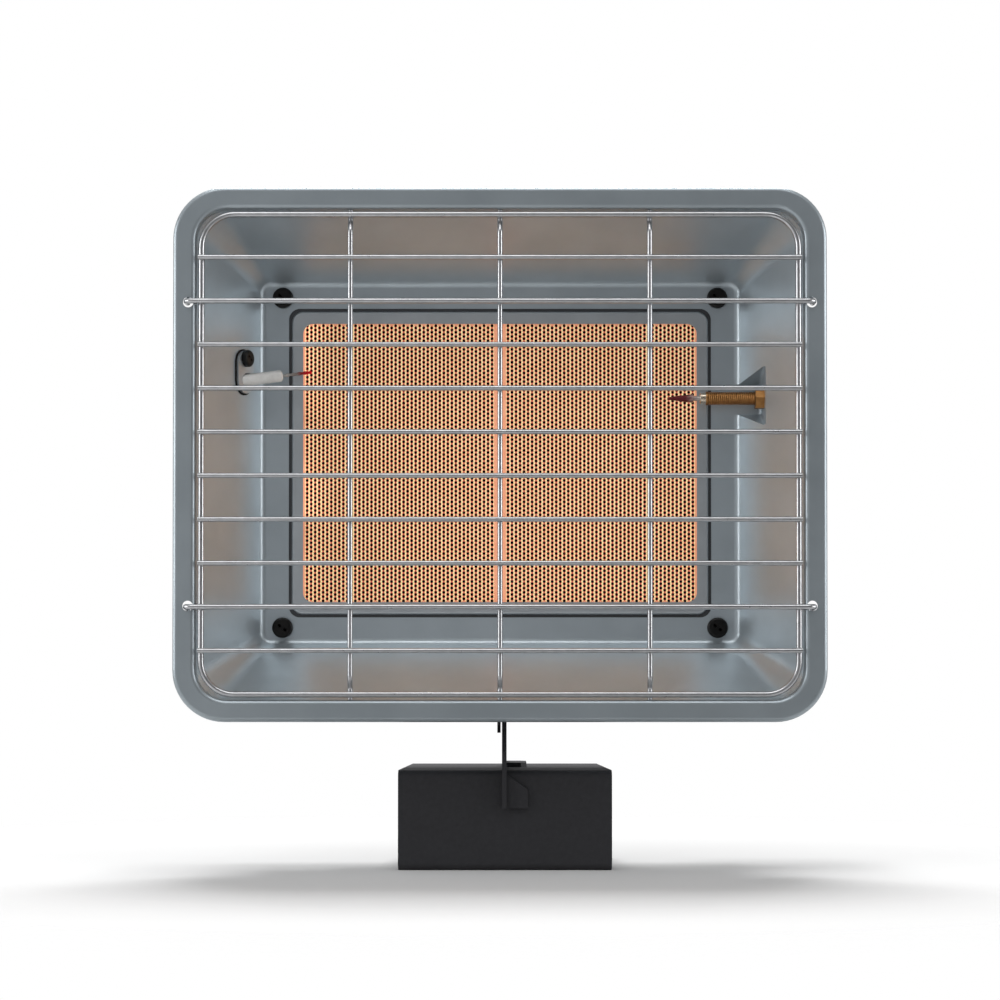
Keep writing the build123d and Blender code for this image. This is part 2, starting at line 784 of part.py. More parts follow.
with BuildPart() as thermocouple_lead_nut:
    with BuildSketch(head_plane(valve_boss_depth, valve_x, -strap_drop)):
        RegularPolygon(lead_nut_flats / 2, 6, major_radius=False)
        Circle(thermocouple_lead_diameter / 2 + thread_clearance, mode=Mode.SUBTRACT)
    extrude(amount=lead_nut_length)
thermocouple_lead_nut.part.label = "thermocouple_lead_nut"

# Ignition electrode: ceramic insulator, wire, black pad, mounting plate, screw, boot and lead
with BuildPart() as electrode_insulator:
    with BuildSketch(electrode_plane):
        Circle(insulator_diameter / 2)
    extrude(amount=insulator_length)
    tip_edges = electrode_insulator.edges().filter_by(GeomType.CIRCLE).sort_by(Axis.X)[-1]
    chamfer(tip_edges, length=insulator_tip_chamfer)
    with BuildSketch(electrode_plane.offset(insulator_length)):
        Circle(electrode_wire / 2 + thread_clearance)
    extrude(amount=-electrode_wire_inside, mode=Mode.SUBTRACT)
electrode_insulator.part.label = "electrode_insulator"

with BuildPart() as electrode_wire_rod:
    with BuildSketch(electrode_plane.offset(insulator_length - electrode_wire_inside)):
        Circle(electrode_wire / 2)
    extrude(amount=electrode_wire_inside + electrode_wire_length)
electrode_wire_rod.part.label = "electrode_wire"

with BuildPart() as electrode_pad:
    with BuildSketch(left_wall):
        with Locations((electrode_plate_rise, 0)):
            SlotOverall(
                electrode_plate_length + 2 * electrode_pad_margin,
                electrode_plate_width + 2 * electrode_pad_margin,
            )
        with Locations((electrode_screw_rise, 0)):
            Circle(small_screw_diameter / 2 + screw_clearance, mode=Mode.SUBTRACT)
    extrude(amount=electrode_pad_sheet)
    with BuildSketch(electrode_plane):
        Circle(insulator_diameter / 2 + thread_clearance)
    extrude(amount=insulator_length, mode=Mode.SUBTRACT)
electrode_pad.part.label = "electrode_pad"

with BuildPart() as electrode_plate:
    with BuildSketch(left_wall.offset(electrode_pad_sheet)):
        with Locations((electrode_plate_rise, 0)):
            SlotOverall(electrode_plate_length, electrode_plate_width)
        with Locations((electrode_screw_rise, 0)):
            Circle(small_screw_diameter / 2 + screw_clearance, mode=Mode.SUBTRACT)
    extrude(amount=electrode_plate_sheet)
    with BuildSketch(electrode_plane):
        Circle(insulator_diameter / 2 + electrode_plate_clearance)
    extrude(amount=insulator_length, mode=Mode.SUBTRACT)
electrode_plate.part.label = "electrode_plate"

with BuildPart() as electrode_screw:
    with Locations(left_wall.offset(electrode_pad_sheet + electrode_plate_sheet)):
        with Locations((electrode_screw_rise, 0)):
            Cylinder(
                small_screw_head_diameter / 2,
                small_screw_head_height,
                align=(Align.CENTER, Align.CENTER, Align.MIN),
            )
            Cylinder(
                small_screw_diameter / 2,
                electrode_pad_sheet + electrode_plate_sheet + reflector_sheet + small_nut_height,
                align=(Align.CENTER, Align.CENTER, Align.MAX),
            )
    wall_axis = Axis(left_wall.origin, left_wall.z_dir)
    head_edge = electrode_screw.edges().filter_by(GeomType.CIRCLE).sort_by(wall_axis)[-1]
    fillet(head_edge, radius=head_rounding)
electrode_screw.part.label = "electrode_screw"

with BuildPart() as electrode_nut:
    with BuildSketch(left_wall.offset(-reflector_sheet)):
        with Locations((electrode_screw_rise, 0)):
            RegularPolygon(small_nut_flats / 2, 6, major_radius=False)
            Circle(small_screw_diameter / 2 + thread_clearance, mode=Mode.SUBTRACT)
    extrude(amount=-small_nut_height)
electrode_nut.part.label = "electrode_nut"

boot_end = lead_boot_cover - lead_boot_length
with BuildPart() as electrode_boot:
    with BuildSketch(electrode_plane.offset(boot_end)):
        Circle(lead_boot_diameter / 2)
    extrude(amount=lead_boot_length)
    with BuildSketch(electrode_plane):
        Circle(insulator_diameter / 2 + thread_clearance)
    extrude(amount=lead_boot_cover, mode=Mode.SUBTRACT)
    boot_edge = electrode_boot.edges().filter_by(GeomType.CIRCLE).sort_by(Axis.X)[0]
    fillet(boot_edge, radius=head_rounding)
electrode_boot.part.label = "electrode_boot"

igniter_front_depth = strap_rear_depth - igniter_length
igniter_boot_depth = igniter_front_depth - igniter_boot_length
igniter_boot_y = rim_face_y + igniter_boot_depth
ignition_route = [
    electrode_outer_end + electrode_direction * boot_end,
    electrode_outer_end + electrode_direction * (boot_end - lead_straight),
    (igniter_x - ignition_lead_bow, electrode_start.Y, electrode_start.Z - ignition_lead_bow_drop),
    (igniter_x - ignition_lead_lower_bow, electrode_start.Y, strap_centre_z + ignition_lead_lower_rise),
    (igniter_x, igniter_boot_y - ignition_lead_end, strap_centre_z),
    (igniter_x, rim_face_y + igniter_boot_depth, strap_centre_z),
]
with BuildPart() as ignition_lead:
    with BuildLine() as lead_path:
        FilletPolyline(*ignition_route, radius=route_radii(ignition_route))
    with BuildSketch(Plane(origin=lead_path.line @ 0, z_dir=lead_path.line % 0)):
        Circle(ignition_lead_diameter / 2)
    sweep()
ignition_lead.part.label = "ignition_lead"

# Push-button igniter clamped in the strap by its plastic nut
igniter_bore_depth = strap_rear_depth + igniter_flange_thickness
button_front_depth = igniter_bore_depth + button_stand_out - button_length
with BuildPart() as igniter_body:
    with BuildSketch(head_plane(igniter_front_depth, igniter_x, -strap_drop)):
        Circle(igniter_diameter / 2)
    extrude(amount=-igniter_length)
    with BuildSketch(head_plane(strap_rear_depth, igniter_x, -strap_drop)):
        Circle(igniter_flange_diameter / 2)
    extrude(amount=-igniter_flange_thickness)
    flange_edge = igniter_body.edges().filter_by(GeomType.CIRCLE).sort_by(Axis.Y)[-1]
    fillet(flange_edge, radius=head_rounding)
    with BuildSketch(head_plane(igniter_bore_depth, igniter_x, -strap_drop)):
        Circle(button_diameter / 2 + button_clearance)
    extrude(amount=button_length - button_stand_out + button_travel + knob_gap, mode=Mode.SUBTRACT)
igniter_body.part.label = "igniter_body"

with BuildPart() as igniter_nut:
    with BuildSketch(head_plane(housing_rear_depth, igniter_x, -strap_drop)):
        RegularPolygon(igniter_nut_flats / 2, 6, major_radius=False)
        Circle(igniter_diameter / 2 + thread_clearance, mode=Mode.SUBTRACT)
    extrude(amount=igniter_nut_thickness)
igniter_nut.part.label = "igniter_nut"

with BuildPart() as igniter_button:
    with BuildSketch(head_plane(button_front_depth, igniter_x, -strap_drop)):
        Circle(button_diameter / 2)
    extrude(amount=-button_length)
    button_edge = igniter_button.edges().filter_by(GeomType.CIRCLE).sort_by(Axis.Y)[-1]
    fillet(button_edge, radius=head_rounding)
igniter_button.part.label = "igniter_button"

with BuildPart() as igniter_boot:
    with BuildSketch(head_plane(igniter_front_depth, igniter_x, -strap_drop)):
        Circle(igniter_boot_diameter / 2)
    extrude(amount=igniter_boot_length)
    boot_edge = igniter_boot.edges().filter_by(GeomType.CIRCLE).sort_by(Axis.Y)[0]
    fillet(boot_edge, radius=head_rounding)
igniter_boot.part.label = "igniter_boot"

# Rear strap with turned-back lips, screwed to the housing
with BuildPart() as control_strap:
    with BuildSketch(head_plane(housing_rear_depth, 0, -strap_drop)):
        RectangleRounded(strap_width, strap_height, strap_corner_radius)
        with Locations((valve_x, 0)):
            Circle(valve_neck_diameter / 2 + thread_clearance, mode=Mode.SUBTRACT)
        with Locations((igniter_x, 0)):
            Circle(igniter_diameter / 2 + thread_clearance, mode=Mode.SUBTRACT)
        with GridLocations(2 * strap_screw_x, 2 * strap_screw_z, 2, 2):
            Circle(small_screw_diameter / 2 + screw_clearance, mode=Mode.SUBTRACT)
    extrude(amount=-strap_sheet)
    with BuildSketch(head_plane(strap_rear_depth, 0, -strap_drop)):
        with GridLocations(0, strap_height - strap_sheet, 1, 2):
            Rectangle(strap_lip_length, strap_sheet)
    extrude(amount=-strap_lip_depth)
control_strap.part.label = "control_strap"

with BuildPart() as strap_screws:
    with Locations(head_plane(strap_rear_depth, 0, -strap_drop)):
        with GridLocations(2 * strap_screw_x, 2 * strap_screw_z, 2, 2):
            Cylinder(
                small_screw_head_diameter / 2,
                small_screw_head_height,
                align=(Align.CENTER, Align.CENTER, Align.MAX),
            )
            Cylinder(
                small_screw_diameter / 2,
                strap_sheet + housing_sheet + small_nut_height,
                align=(Align.CENTER, Align.CENTER, Align.MIN),
            )
    fillet(
        strap_screws.faces().group_by(Axis.Y)[-1].edges().filter_by(GeomType.CIRCLE),
        radius=head_rounding,
    )
strap_screws.part.label = "strap_screws"

with BuildPart() as strap_nuts:
    with BuildSketch(head_plane(plenum_rear_depth, 0, -strap_drop)):
        with GridLocations(2 * strap_screw_x, 2 * strap_screw_z, 2, 2):
            RegularPolygon(small_nut_flats / 2, 6, major_radius=False)
            Circle(small_screw_diameter / 2 + thread_clearance, mode=Mode.SUBTRACT)
    extrude(amount=small_nut_height)
strap_nuts.part.label = "strap_nuts"

# Mixing tube: flanged tube with a throat, a flared mouth outside and air windows
tube_y = rim_face_y + tube_depth
tube_outer_x = tube_wall_x + tube_outside
tube_radius = tube_diameter / 2
bore_radius = tube_radius - tube_wall
throat_x = tube_wall_x - tube_flange_thickness
with BuildPart() as mixing_tube:
    with BuildSketch(side_plane(tube_end_x, tube_y, strap_centre_z)):
        Circle(tube_radius)
    extrude(amount=tube_outer_x - tube_end_x)
    with BuildSketch(side_plane(tube_wall_x, tube_y, strap_centre_z)):
        RectangleRounded(tube_flange_width, tube_flange_length, housing_corner_radius)
        with GridLocations(0, tube_screw_spacing, 1, 2):
            Circle(small_screw_diameter / 2 + screw_clearance, mode=Mode.SUBTRACT)
    extrude(amount=tube_flange_thickness)
    with BuildSketch(Plane(origin=(0, tube_y, strap_centre_z), x_dir=right, z_dir=front)):
        Polygon(
            (tube_end_x, 0),
            (tube_end_x, bore_radius),
            (throat_x - throat_length - bell_length, bore_radius),
            (throat_x - throat_length, throat_diameter / 2),
            (throat_x, throat_diameter / 2),
            (tube_wall_x + air_window_start, bore_radius),
            (tube_outer_x - tube_end_wall, bore_radius),
            (tube_outer_x - tube_end_wall, injector_thread / 2 + thread_clearance),
            (tube_outer_x, injector_thread / 2 + thread_clearance),
            (tube_outer_x, 0),
            align=None,
        )
    revolve(axis=Axis((0, tube_y, strap_centre_z), right), mode=Mode.SUBTRACT)
    window_x = tube_wall_x + tube_flange_thickness + air_window_start
    with BuildSketch(side_plane(window_x, tube_y, strap_centre_z)):
        with PolarLocations(tube_radius, air_windows, start_angle=45):
            Rectangle(3 * tube_wall, air_window_width)
    extrude(amount=air_window_length, mode=Mode.SUBTRACT)
mixing_tube.part.label = "mixing_tube"

with BuildPart() as mixing_tube_screws:
    with Locations(side_plane(tube_wall_x + tube_flange_thickness, tube_y, strap_centre_z)):
        with GridLocations(0, tube_screw_spacing, 1, 2):
            Cylinder(
                small_screw_head_diameter / 2,
                small_screw_head_height,
                align=(Align.CENTER, Align.CENTER, Align.MIN),
            )
            Cylinder(
                small_screw_diameter / 2,
                tube_flange_thickness + housing_sheet + tube_screw_tail,
                align=(Align.CENTER, Align.CENTER, Align.MAX),
            )
    fillet(
        mixing_tube_screws.faces().group_by(Axis.X)[-1].edges().filter_by(GeomType.CIRCLE),
        radius=head_rounding,
    )
mixing_tube_screws.part.label = "mixing_tube_screws"

injector_outer_x = tube_outer_x + injector_hex_length
injector_nose_x = tube_outer_x - tube_end_wall - injector_nose_length
with BuildPart() as injector:
    with BuildSketch(Plane(origin=(0, tube_y, strap_centre_z), x_dir=right, z_dir=front)):
        Polygon(
            (injector_nose_x, injector_hole / 2),
            (injector_nose_x, injector_nose_diameter / 2),
            (tube_outer_x - tube_end_wall, injector_thread / 2),
            (tube_outer_x, injector_thread / 2),
            (tube_outer_x, injector_hole / 2),
            align=None,
        )
    revolve(axis=Axis((0, tube_y, strap_centre_z), right))
    with BuildSketch(side_plane(tube_outer_x, tube_y, strap_centre_z)):
        RegularPolygon(injector_flats / 2, 6, major_radius=False)
        Circle(injector_hole / 2, mode=Mode.SUBTRACT)
    extrude(amount=injector_hex_length)
injector.part.label = "injector"

# Plate that spreads the gas as it leaves the mixing tube
spreader_x = tube_end_x - spreader_gap
with BuildPart() as gas_spreader:
    with BuildSketch(head_plane(plenum_rear_depth, spreader_x - spreader_foot / 2, -strap_drop)):
        RectangleRounded(spreader_foot, spreader_height, spreader_corner_radius)
    extrude(amount=spreader_sheet)
    with BuildSketch(side_plane(spreader_x - spreader_sheet, rim_face_y + plenum_rear_depth, strap_centre_z)):
        with Locations((-spreader_width / 2, 0)):
            RectangleRounded(spreader_width, spreader_height, spreader_corner_radius)
            with GridLocations(0, spreader_height / 3, 1, 2):
                Circle(spreader_width / 4, mode=Mode.SUBTRACT)
    extrude(amount=spreader_sheet)
gas_spreader.part.label = "gas_spreader"

# Gas valve: body with outlet, hexagon inlet, thermocouple boss and threaded neck
inlet_depth = (valve_front_depth + housing_rear_depth) / 2
inlet_y = rim_face_y + inlet_depth
inlet_thread_z = strap_centre_z - inlet_hex_end
inlet_end_z = inlet_thread_z - inlet_thread_length
spindle_bore_depth = spindle_start_depth - press_travel - screw_clearance
with BuildPart() as valve_body:
    with BuildSketch(head_plane(valve_front_depth, valve_x, -strap_drop)):
        Circle(valve_diameter / 2)
    extrude(amount=valve_front_depth - housing_rear_depth)
    with BuildSketch(head_plane(valve_front_depth, valve_x, -strap_drop)):
        Circle(valve_boss_diameter / 2)
    extrude(amount=valve_boss_length)
    with BuildSketch(head_plane(housing_rear_depth, valve_x, -strap_drop)):
        Circle(valve_neck_diameter / 2)
    extrude(amount=-valve_neck_length)
    with BuildSketch(side_plane(injector_outer_x, tube_y, strap_centre_z)):
        Circle(valve_outlet_diameter / 2)
    extrude(amount=valve_x - injector_outer_x)
    with BuildSketch(Plane(origin=(valve_x, inlet_y, strap_centre_z), x_dir=right, z_dir=(0, 0, -1))):
        RegularPolygon(inlet_hex_flats / 2, 6, major_radius=False)
    extrude(amount=inlet_hex_end)
    with BuildSketch(Plane(origin=(valve_x, inlet_y, inlet_thread_z), x_dir=right, z_dir=(0, 0, -1))):
        Circle(inlet_thread_diameter / 2)
    extrude(amount=inlet_thread_length)
    with BuildSketch(Plane(origin=(valve_x, inlet_y, inlet_end_z), x_dir=right, z_dir=(0, 0, 1))):
        Circle(inlet_bore / 2)
    extrude(amount=inlet_thread_length, mode=Mode.SUBTRACT)
    with BuildSketch(head_plane(neck_end_depth, valve_x, -strap_drop)):
        Circle(spindle_diameter / 2 + spindle_clearance)
    extrude(amount=neck_end_depth - spindle_bore_depth, mode=Mode.SUBTRACT)
    with BuildSketch(head_plane(spindle_bore_depth, valve_x, -strap_drop)):
        Circle(push_rod_diameter / 2 + spindle_clearance)
    extrude(amount=push_rod_length, mode=Mode.SUBTRACT)
valve_body.part.label = "valve_body"

with BuildPart() as valve_neck_nut:
    with BuildSketch(head_plane(strap_rear_depth, valve_x, -strap_drop)):
        RegularPolygon(valve_neck_nut_flats / 2, 6, major_radius=False)
        Circle(valve_neck_diameter / 2 + thread_clearance, mode=Mode.SUBTRACT)
    extrude(amount=-valve_neck_nut_thickness)
valve_neck_nut.part.label = "valve_neck_nut"

with BuildPart() as valve_push_rod:
    with BuildSketch(head_plane(spindle_start_depth, valve_x, -strap_drop)):
        Circle(push_rod_diameter / 2)
    extrude(amount=push_rod_length)
valve_push_rod.part.label = "valve_push_rod"

spindle_end_depth = knob_depth + knob_bore_depth
with BuildPart() as valve_spindle:
    with BuildSketch(head_plane(spindle_start_depth, valve_x, -strap_drop)):
        Circle(spindle_diameter / 2)
    extrude(amount=spindle_start_depth - spindle_end_depth)
    with BuildSketch(head_plane(knob_depth, valve_x, -strap_drop)):
        with Locations((0, spindle_diameter / 2)):
            Rectangle(spindle_diameter, 2 * spindle_flat)
    extrude(amount=-knob_bore_depth, mode=Mode.SUBTRACT)
valve_spindle.part.label = "valve_spindle"

with BuildPart() as control_knob:
    with BuildSketch(head_plane(knob_depth, valve_x, -strap_drop)):
        Circle(knob_skirt_diameter / 2)
    extrude(amount=-knob_skirt_height)
    skirt_edge = control_knob.edges().filter_by(GeomType.CIRCLE).sort_by(Axis.Y)[-1]
    chamfer(skirt_edge, length=head_rounding)
    with BuildSketch(head_plane(knob_depth + knob_skirt_height, valve_x, -strap_drop)):
        Circle(knob_diameter / 2)
    extrude(amount=knob_skirt_height - knob_length)
    crown_edge = control_knob.edges().filter_by(GeomType.CIRCLE).sort_by(Axis.Y)[-1]
    fillet(crown_edge, radius=knob_edge_radius)
    with BuildSketch(head_plane(knob_depth + knob_skirt_height, valve_x, -strap_drop)):
        with PolarLocations(knob_diameter / 2 + knob_flute_diameter / 4, knob_flutes):
            Circle(knob_flute_diameter / 2)
    extrude(amount=knob_skirt_height - knob_length, mode=Mode.SUBTRACT)
    with BuildSketch(head_plane(knob_depth, valve_x, -strap_drop)):
        Circle(spindle_diameter / 2 + thread_clearance)
        with Locations((0, spindle_diameter / 2 + thread_clearance)):
            Rectangle(spindle_diameter, 2 * spindle_flat, mode=Mode.SUBTRACT)
    extrude(amount=-knob_bore_depth - thread_clearance, mode=Mode.SUBTRACT)
control_knob.part.label = "control_knob"

# Bracket on the head: flange under the housing and an arm down to the hinge
bracket_x = bracket_face_x - bracket_sheet
bracket_rear_y = rim_face_y + bracket_flange_depth + bracket_flange_length
with BuildPart() as head_bracket:
    with BuildSketch(side_plane(bracket_x)):
        with Locations((hinge_y, hinge_z - bracket_tip_drop)):
            Circle(bracket_tip_radius)
        with Locations((rim_face_y + bracket_knee_depth, plenum_bottom_z - bracket_knee_drop)):
            Circle(bracket_knee_radius)
        make_hull()
        with Locations((bracket_rear_y, plenum_bottom_z)):
            Rectangle(
                bracket_flange_length,
                bracket_knee_drop + bracket_sheet,
                align=(Align.MAX, Align.MAX),
            )
        with Locations((hinge_y, hinge_z)):
            Circle(hinge_bolt_diameter / 2 + hinge_clearance, mode=Mode.SUBTRACT)
    extrude(amount=bracket_sheet)
    with BuildSketch(Plane.XY.offset(plenum_bottom_z)):
        with Locations((bracket_face_x, bracket_rear_y)):
            Rectangle(bracket_flange_width, bracket_flange_length, align=(Align.MAX, Align.MAX))
        with Locations((bracket_screw_x, bracket_screw_y)):
            with GridLocations(bracket_screw_spacing, 0, 2, 1):
                Circle(burner_screw_diameter / 2 + screw_clearance, mode=Mode.SUBTRACT)
    extrude(amount=-bracket_sheet)
head_bracket.part.label = "head_bracket"

with BuildPart() as head_bracket_screws:
    with Locations((bracket_screw_x, bracket_screw_y, plenum_bottom_z - bracket_sheet)):
        with GridLocations(bracket_screw_spacing, 0, 2, 1):
            Cylinder(
                burner_screw_head_diameter / 2,
                burner_screw_head_height,
                align=(Align.CENTER, Align.CENTER, Align.MAX),
            )
            Cylinder(
                burner_screw_diameter / 2,
                bracket_sheet + housing_sheet + burner_nut_height + screw_tail,
                align=(Align.CENTER, Align.CENTER, Align.MIN),
            )
    fillet(
        head_bracket_screws.faces().group_by(Axis.Z)[0].edges().filter_by(GeomType.CIRCLE),
        radius=head_rounding,
    )
head_bracket_screws.part.label = "head_bracket_screws"

with BuildPart() as head_bracket_nuts:
    with BuildSketch(Plane.XY.offset(plenum_bottom_z + housing_sheet)):
        with Locations((bracket_screw_x, bracket_screw_y)):
            with GridLocations(bracket_screw_spacing, 0, 2, 1):
                RegularPolygon(burner_nut_flats / 2, 6, major_radius=False)
                Circle(burner_screw_diameter / 2 + thread_clearance, mode=Mode.SUBTRACT)
    extrude(amount=burner_nut_height)
head_bracket_nuts.part.label = "head_bracket_nuts"

# Hinge: domed bolt, spacer between the plates, washer and wing nut
bolt_head_x = bracket_x - hinge_face_gap
web_face_x = stand_web_x + stand_sheet
wing_nut_x = web_face_x + hinge_washer_thickness + hinge_face_gap
with BuildPart() as hinge_bolt:
    with BuildSketch(side_plane(bolt_head_x, hinge_y, hinge_z)):
        Circle(hinge_bolt_head_diameter / 2)
    extrude(amount=-hinge_bolt_head_height)
    dome_edge = hinge_bolt.edges().filter_by(GeomType.CIRCLE).sort_by(Axis.X)[0]
    fillet(dome_edge, radius=2 * head_rounding)
    with BuildSketch(side_plane(bolt_head_x, hinge_y, hinge_z)):
        Circle(hinge_bolt_diameter / 2)
    extrude(amount=hinge_bolt_length)
hinge_bolt.part.label = "hinge_bolt"

with BuildPart() as hinge_spacer:
    with BuildSketch(side_plane(bracket_face_x + hinge_face_gap, hinge_y, hinge_z)):
        Circle(hinge_washer_diameter / 2)
        Circle(hinge_bolt_diameter / 2 + hinge_clearance, mode=Mode.SUBTRACT)
    extrude(amount=stand_web_x - bracket_face_x - hinge_face_gap)
hinge_spacer.part.label = "hinge_spacer"

with BuildPart() as hinge_washer:
    with BuildSketch(side_plane(web_face_x, hinge_y, hinge_z)):
        Circle(hinge_washer_diameter / 2)
        Circle(hinge_bolt_diameter / 2 + hinge_clearance, mode=Mode.SUBTRACT)
    extrude(amount=hinge_washer_thickness)
hinge_washer.part.label = "hinge_washer"

with BuildPart() as wing_nut:
    with BuildSketch(side_plane(wing_nut_x, hinge_y, hinge_z)):
        Circle(wing_hub_diameter / 2)
    extrude(amount=wing_hub_length)
    with BuildSketch(Plane(origin=(wing_nut_x, hinge_y, hinge_z), x_dir=rear, z_dir=(0, 0, 1))):
        for side in (-1, 1):
            with BuildLine():
                ThreePointArc(
                    (side * wing_hub_diameter / 4, 0),
                    (side * wing_lower_bow, -wing_lower_bow_x),
                    (side * wing_span / 2, -wing_height),
                )
                ThreePointArc(
                    (side * wing_span / 2, -wing_height),
                    (side * wing_upper_bow, -wing_upper_bow_x),
                    (side * wing_hub_diameter / 4, -wing_root_x),
                )
                Line(
                    (side * wing_hub_diameter / 4, -wing_root_x),
                    (side * wing_hub_diameter / 4, 0),
                )
            make_face()
    extrude(amount=wing_thickness / 2, both=True)
    with BuildSketch(side_plane(wing_nut_x, hinge_y, hinge_z)):
        Circle(hinge_bolt_diameter / 2 + hinge_clearance)
    extrude(amount=wing_hub_length, mode=Mode.SUBTRACT)
wing_nut.part.label = "wing_nut"

# Stand plate: upright web with one flange on the base's top and one on its front
with BuildPart() as stand_plate:
    with BuildSketch(side_plane(stand_web_x)):
        with Locations((hinge_y, hinge_z)):
            Circle(hinge_boss_radius)
        with Locations((base_front_y - stand_web_front, front_flange_bottom)):
            Rectangle(
                stand_web_front,
                stand_web_front_top - front_flange_bottom,
                align=(Align.MIN, Align.MIN),
            )
        with Locations((stand_web_rear, base_height)):
            Rectangle(stand_sheet, stand_web_rear_height, align=(Align.MAX, Align.MIN))
        make_hull()
        with Locations((base_front_y, base_height)):
            Rectangle(base_depth, base_height, align=(Align.MIN, Align.MAX), mode=Mode.SUBTRACT)
        with Locations((hinge_y, hinge_z)):
            Circle(hinge_bolt_diameter / 2 + hinge_clearance, mode=Mode.SUBTRACT)
    extrude(amount=stand_sheet)
    with BuildSketch(Plane(origin=(stand_web_x, base_front_y, 0), x_dir=right, z_dir=front)):
        Polygon(
            (0, front_flange_bottom),
            (front_flange_width, front_flange_bottom),
            (front_flange_width, front_flange_shoulder),
            (stand_sheet, front_flange_top),
            (0, front_flange_top),
            align=None,
        )
    extrude(amount=stand_sheet)
    with BuildSketch(Plane.XY.offset(base_height)):
        Polygon(
            (stand_web_x, top_flange_start),
            (stand_web_x + top_flange_width - top_flange_chamfer, top_flange_start),
            (stand_web_x + top_flange_width, top_flange_start + top_flange_chamfer),
            (stand_web_x + top_flange_width, top_flange_start + top_flange_length - top_flange_chamfer),
            (stand_web_x + top_flange_width - top_flange_chamfer, top_flange_start + top_flange_length),
            (stand_web_x, top_flange_start + top_flange_length),
            align=None,
        )
    extrude(amount=stand_sheet)
stand_plate.part.label = "stand_plate"

# Base: one sheet bent round front, top and rear, with inward flanges to stand on
with BuildPart() as stand_base:
    with BuildSketch(side_plane(base_centre_x - base_width / 2)):
        with Locations((0, base_height / 2)):
            RectangleRounded(base_depth, base_height, base_bend_radius)
            RectangleRounded(
                base_depth - 2 * base_sheet,
                base_height - 2 * base_sheet,
                base_bend_radius - base_sheet,
                mode=Mode.SUBTRACT,
            )
        Rectangle(base_depth - 2 * base_bottom_flange, 2 * base_sheet, mode=Mode.SUBTRACT)
    extrude(amount=base_width)
    with BuildSketch(Plane.XY):
        Polygon(
            (base_centre_x - base_width / 2, -base_depth / 2),
            (base_centre_x + base_width / 2, -base_depth / 2),
            (base_centre_x + base_rear_width / 2, base_depth / 2),
            (base_centre_x - base_rear_width / 2, base_depth / 2),
            align=None,
        )
    extrude(amount=base_height, mode=Mode.INTERSECT)
stand_base.part.label = "stand_base"

os.makedirs("parts", exist_ok=True)
pieces = [
    reflector, burner_frame, plaque_left, plaque_right, plaque_gasket, burner_housing,
    burner_screws, burner_nuts, guard_ring, guard_cross_wires, guard_hook_wires,
    guard_upright_wires, thermocouple_sleeve, thermocouple_nuts, thermocouple_probe,
    thermocouple_lead, thermocouple_lead_nut, electrode_insulator, electrode_wire_rod,
    electrode_pad, electrode_plate, electrode_screw, electrode_nut, electrode_boot, ignition_lead,
    igniter_body, igniter_nut, igniter_button, igniter_boot, control_strap, strap_screws,
    strap_nuts, mixing_tube, mixing_tube_screws, injector, gas_spreader, valve_body,
    valve_neck_nut, valve_push_rod, valve_spindle, control_knob, head_bracket,
    head_bracket_screws, head_bracket_nuts, hinge_bolt, hinge_spacer, hinge_washer,
    wing_nut, stand_plate, stand_base,
]
for piece in pieces:
    export_step(piece.part, f"parts/{piece.part.label}.step")
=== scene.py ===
import bpy
import math
from mathutils import Matrix, Vector


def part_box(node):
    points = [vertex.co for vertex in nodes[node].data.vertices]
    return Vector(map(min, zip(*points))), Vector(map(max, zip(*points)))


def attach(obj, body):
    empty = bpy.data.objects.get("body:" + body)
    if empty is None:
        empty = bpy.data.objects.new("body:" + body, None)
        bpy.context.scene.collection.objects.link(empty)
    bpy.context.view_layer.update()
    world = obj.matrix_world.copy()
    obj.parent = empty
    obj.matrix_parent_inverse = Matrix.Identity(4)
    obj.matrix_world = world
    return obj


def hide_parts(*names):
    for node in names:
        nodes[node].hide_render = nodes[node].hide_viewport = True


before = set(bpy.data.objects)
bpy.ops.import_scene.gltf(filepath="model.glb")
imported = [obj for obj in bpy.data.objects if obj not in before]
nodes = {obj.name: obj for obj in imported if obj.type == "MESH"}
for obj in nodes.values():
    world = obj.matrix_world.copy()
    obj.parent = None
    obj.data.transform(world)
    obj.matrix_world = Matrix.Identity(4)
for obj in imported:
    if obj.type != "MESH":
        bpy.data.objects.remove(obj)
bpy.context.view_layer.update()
scene = bpy.context.scene

# Places and lengths on the heater are in millimetres, and MM turns them into metres.
MM = 0.001
X, Y, Z = range(3)
FULL_TURN = 2 * math.pi
QUADRANTS = ((1, 1), (-1, 1), (-1, -1), (1, -1))


def box_of(node_name):
    """Lowest and highest corner of a CAD node at rest, in millimetres."""
    return [[round(value / MM, 3) for value in corner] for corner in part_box(node_name)]


def middle(box, axis):
    """Middle of a box along an axis."""
    low, high = box
    return (low[axis] + high[axis]) / 2


def half(box, axis):
    """Half the size of a box along an axis."""
    low, high = box
    return (high[axis] - low[axis]) / 2


# Places read from the CAD nodes
reflector_box = box_of("reflector")
plaque_box = box_of("plaque_right")
frame_box = box_of("burner_frame")
sleeve_box = box_of("thermocouple_sleeve")
probe_box = box_of("thermocouple_probe")
strap_box = box_of("control_strap")
corner_screws_box = box_of("burner_screws")
strap_screws_box = box_of("strap_screws")
RIM_Y = reflector_box[0][Y]
HEAD_Z = middle(reflector_box, Z)
LEFT_EDGE_X = box_of("plaque_left")[0][X]

# The dish's left wall, and the electrode that stands on it
WALL_MOUTH_X = 131.9
WALL_FLOOR_X = 107.8
WALL_FRONT = 5.0
WALL_DEPTH = 45.0
ELECTRODE_DEPTH = 36.8
ELECTRODE_RISE = 35.85
WIRE_ROOT_X = -97.8
WIRE_ROOT_DEPTH = 41.0
WIRE_ROOT_RISE = 38.45

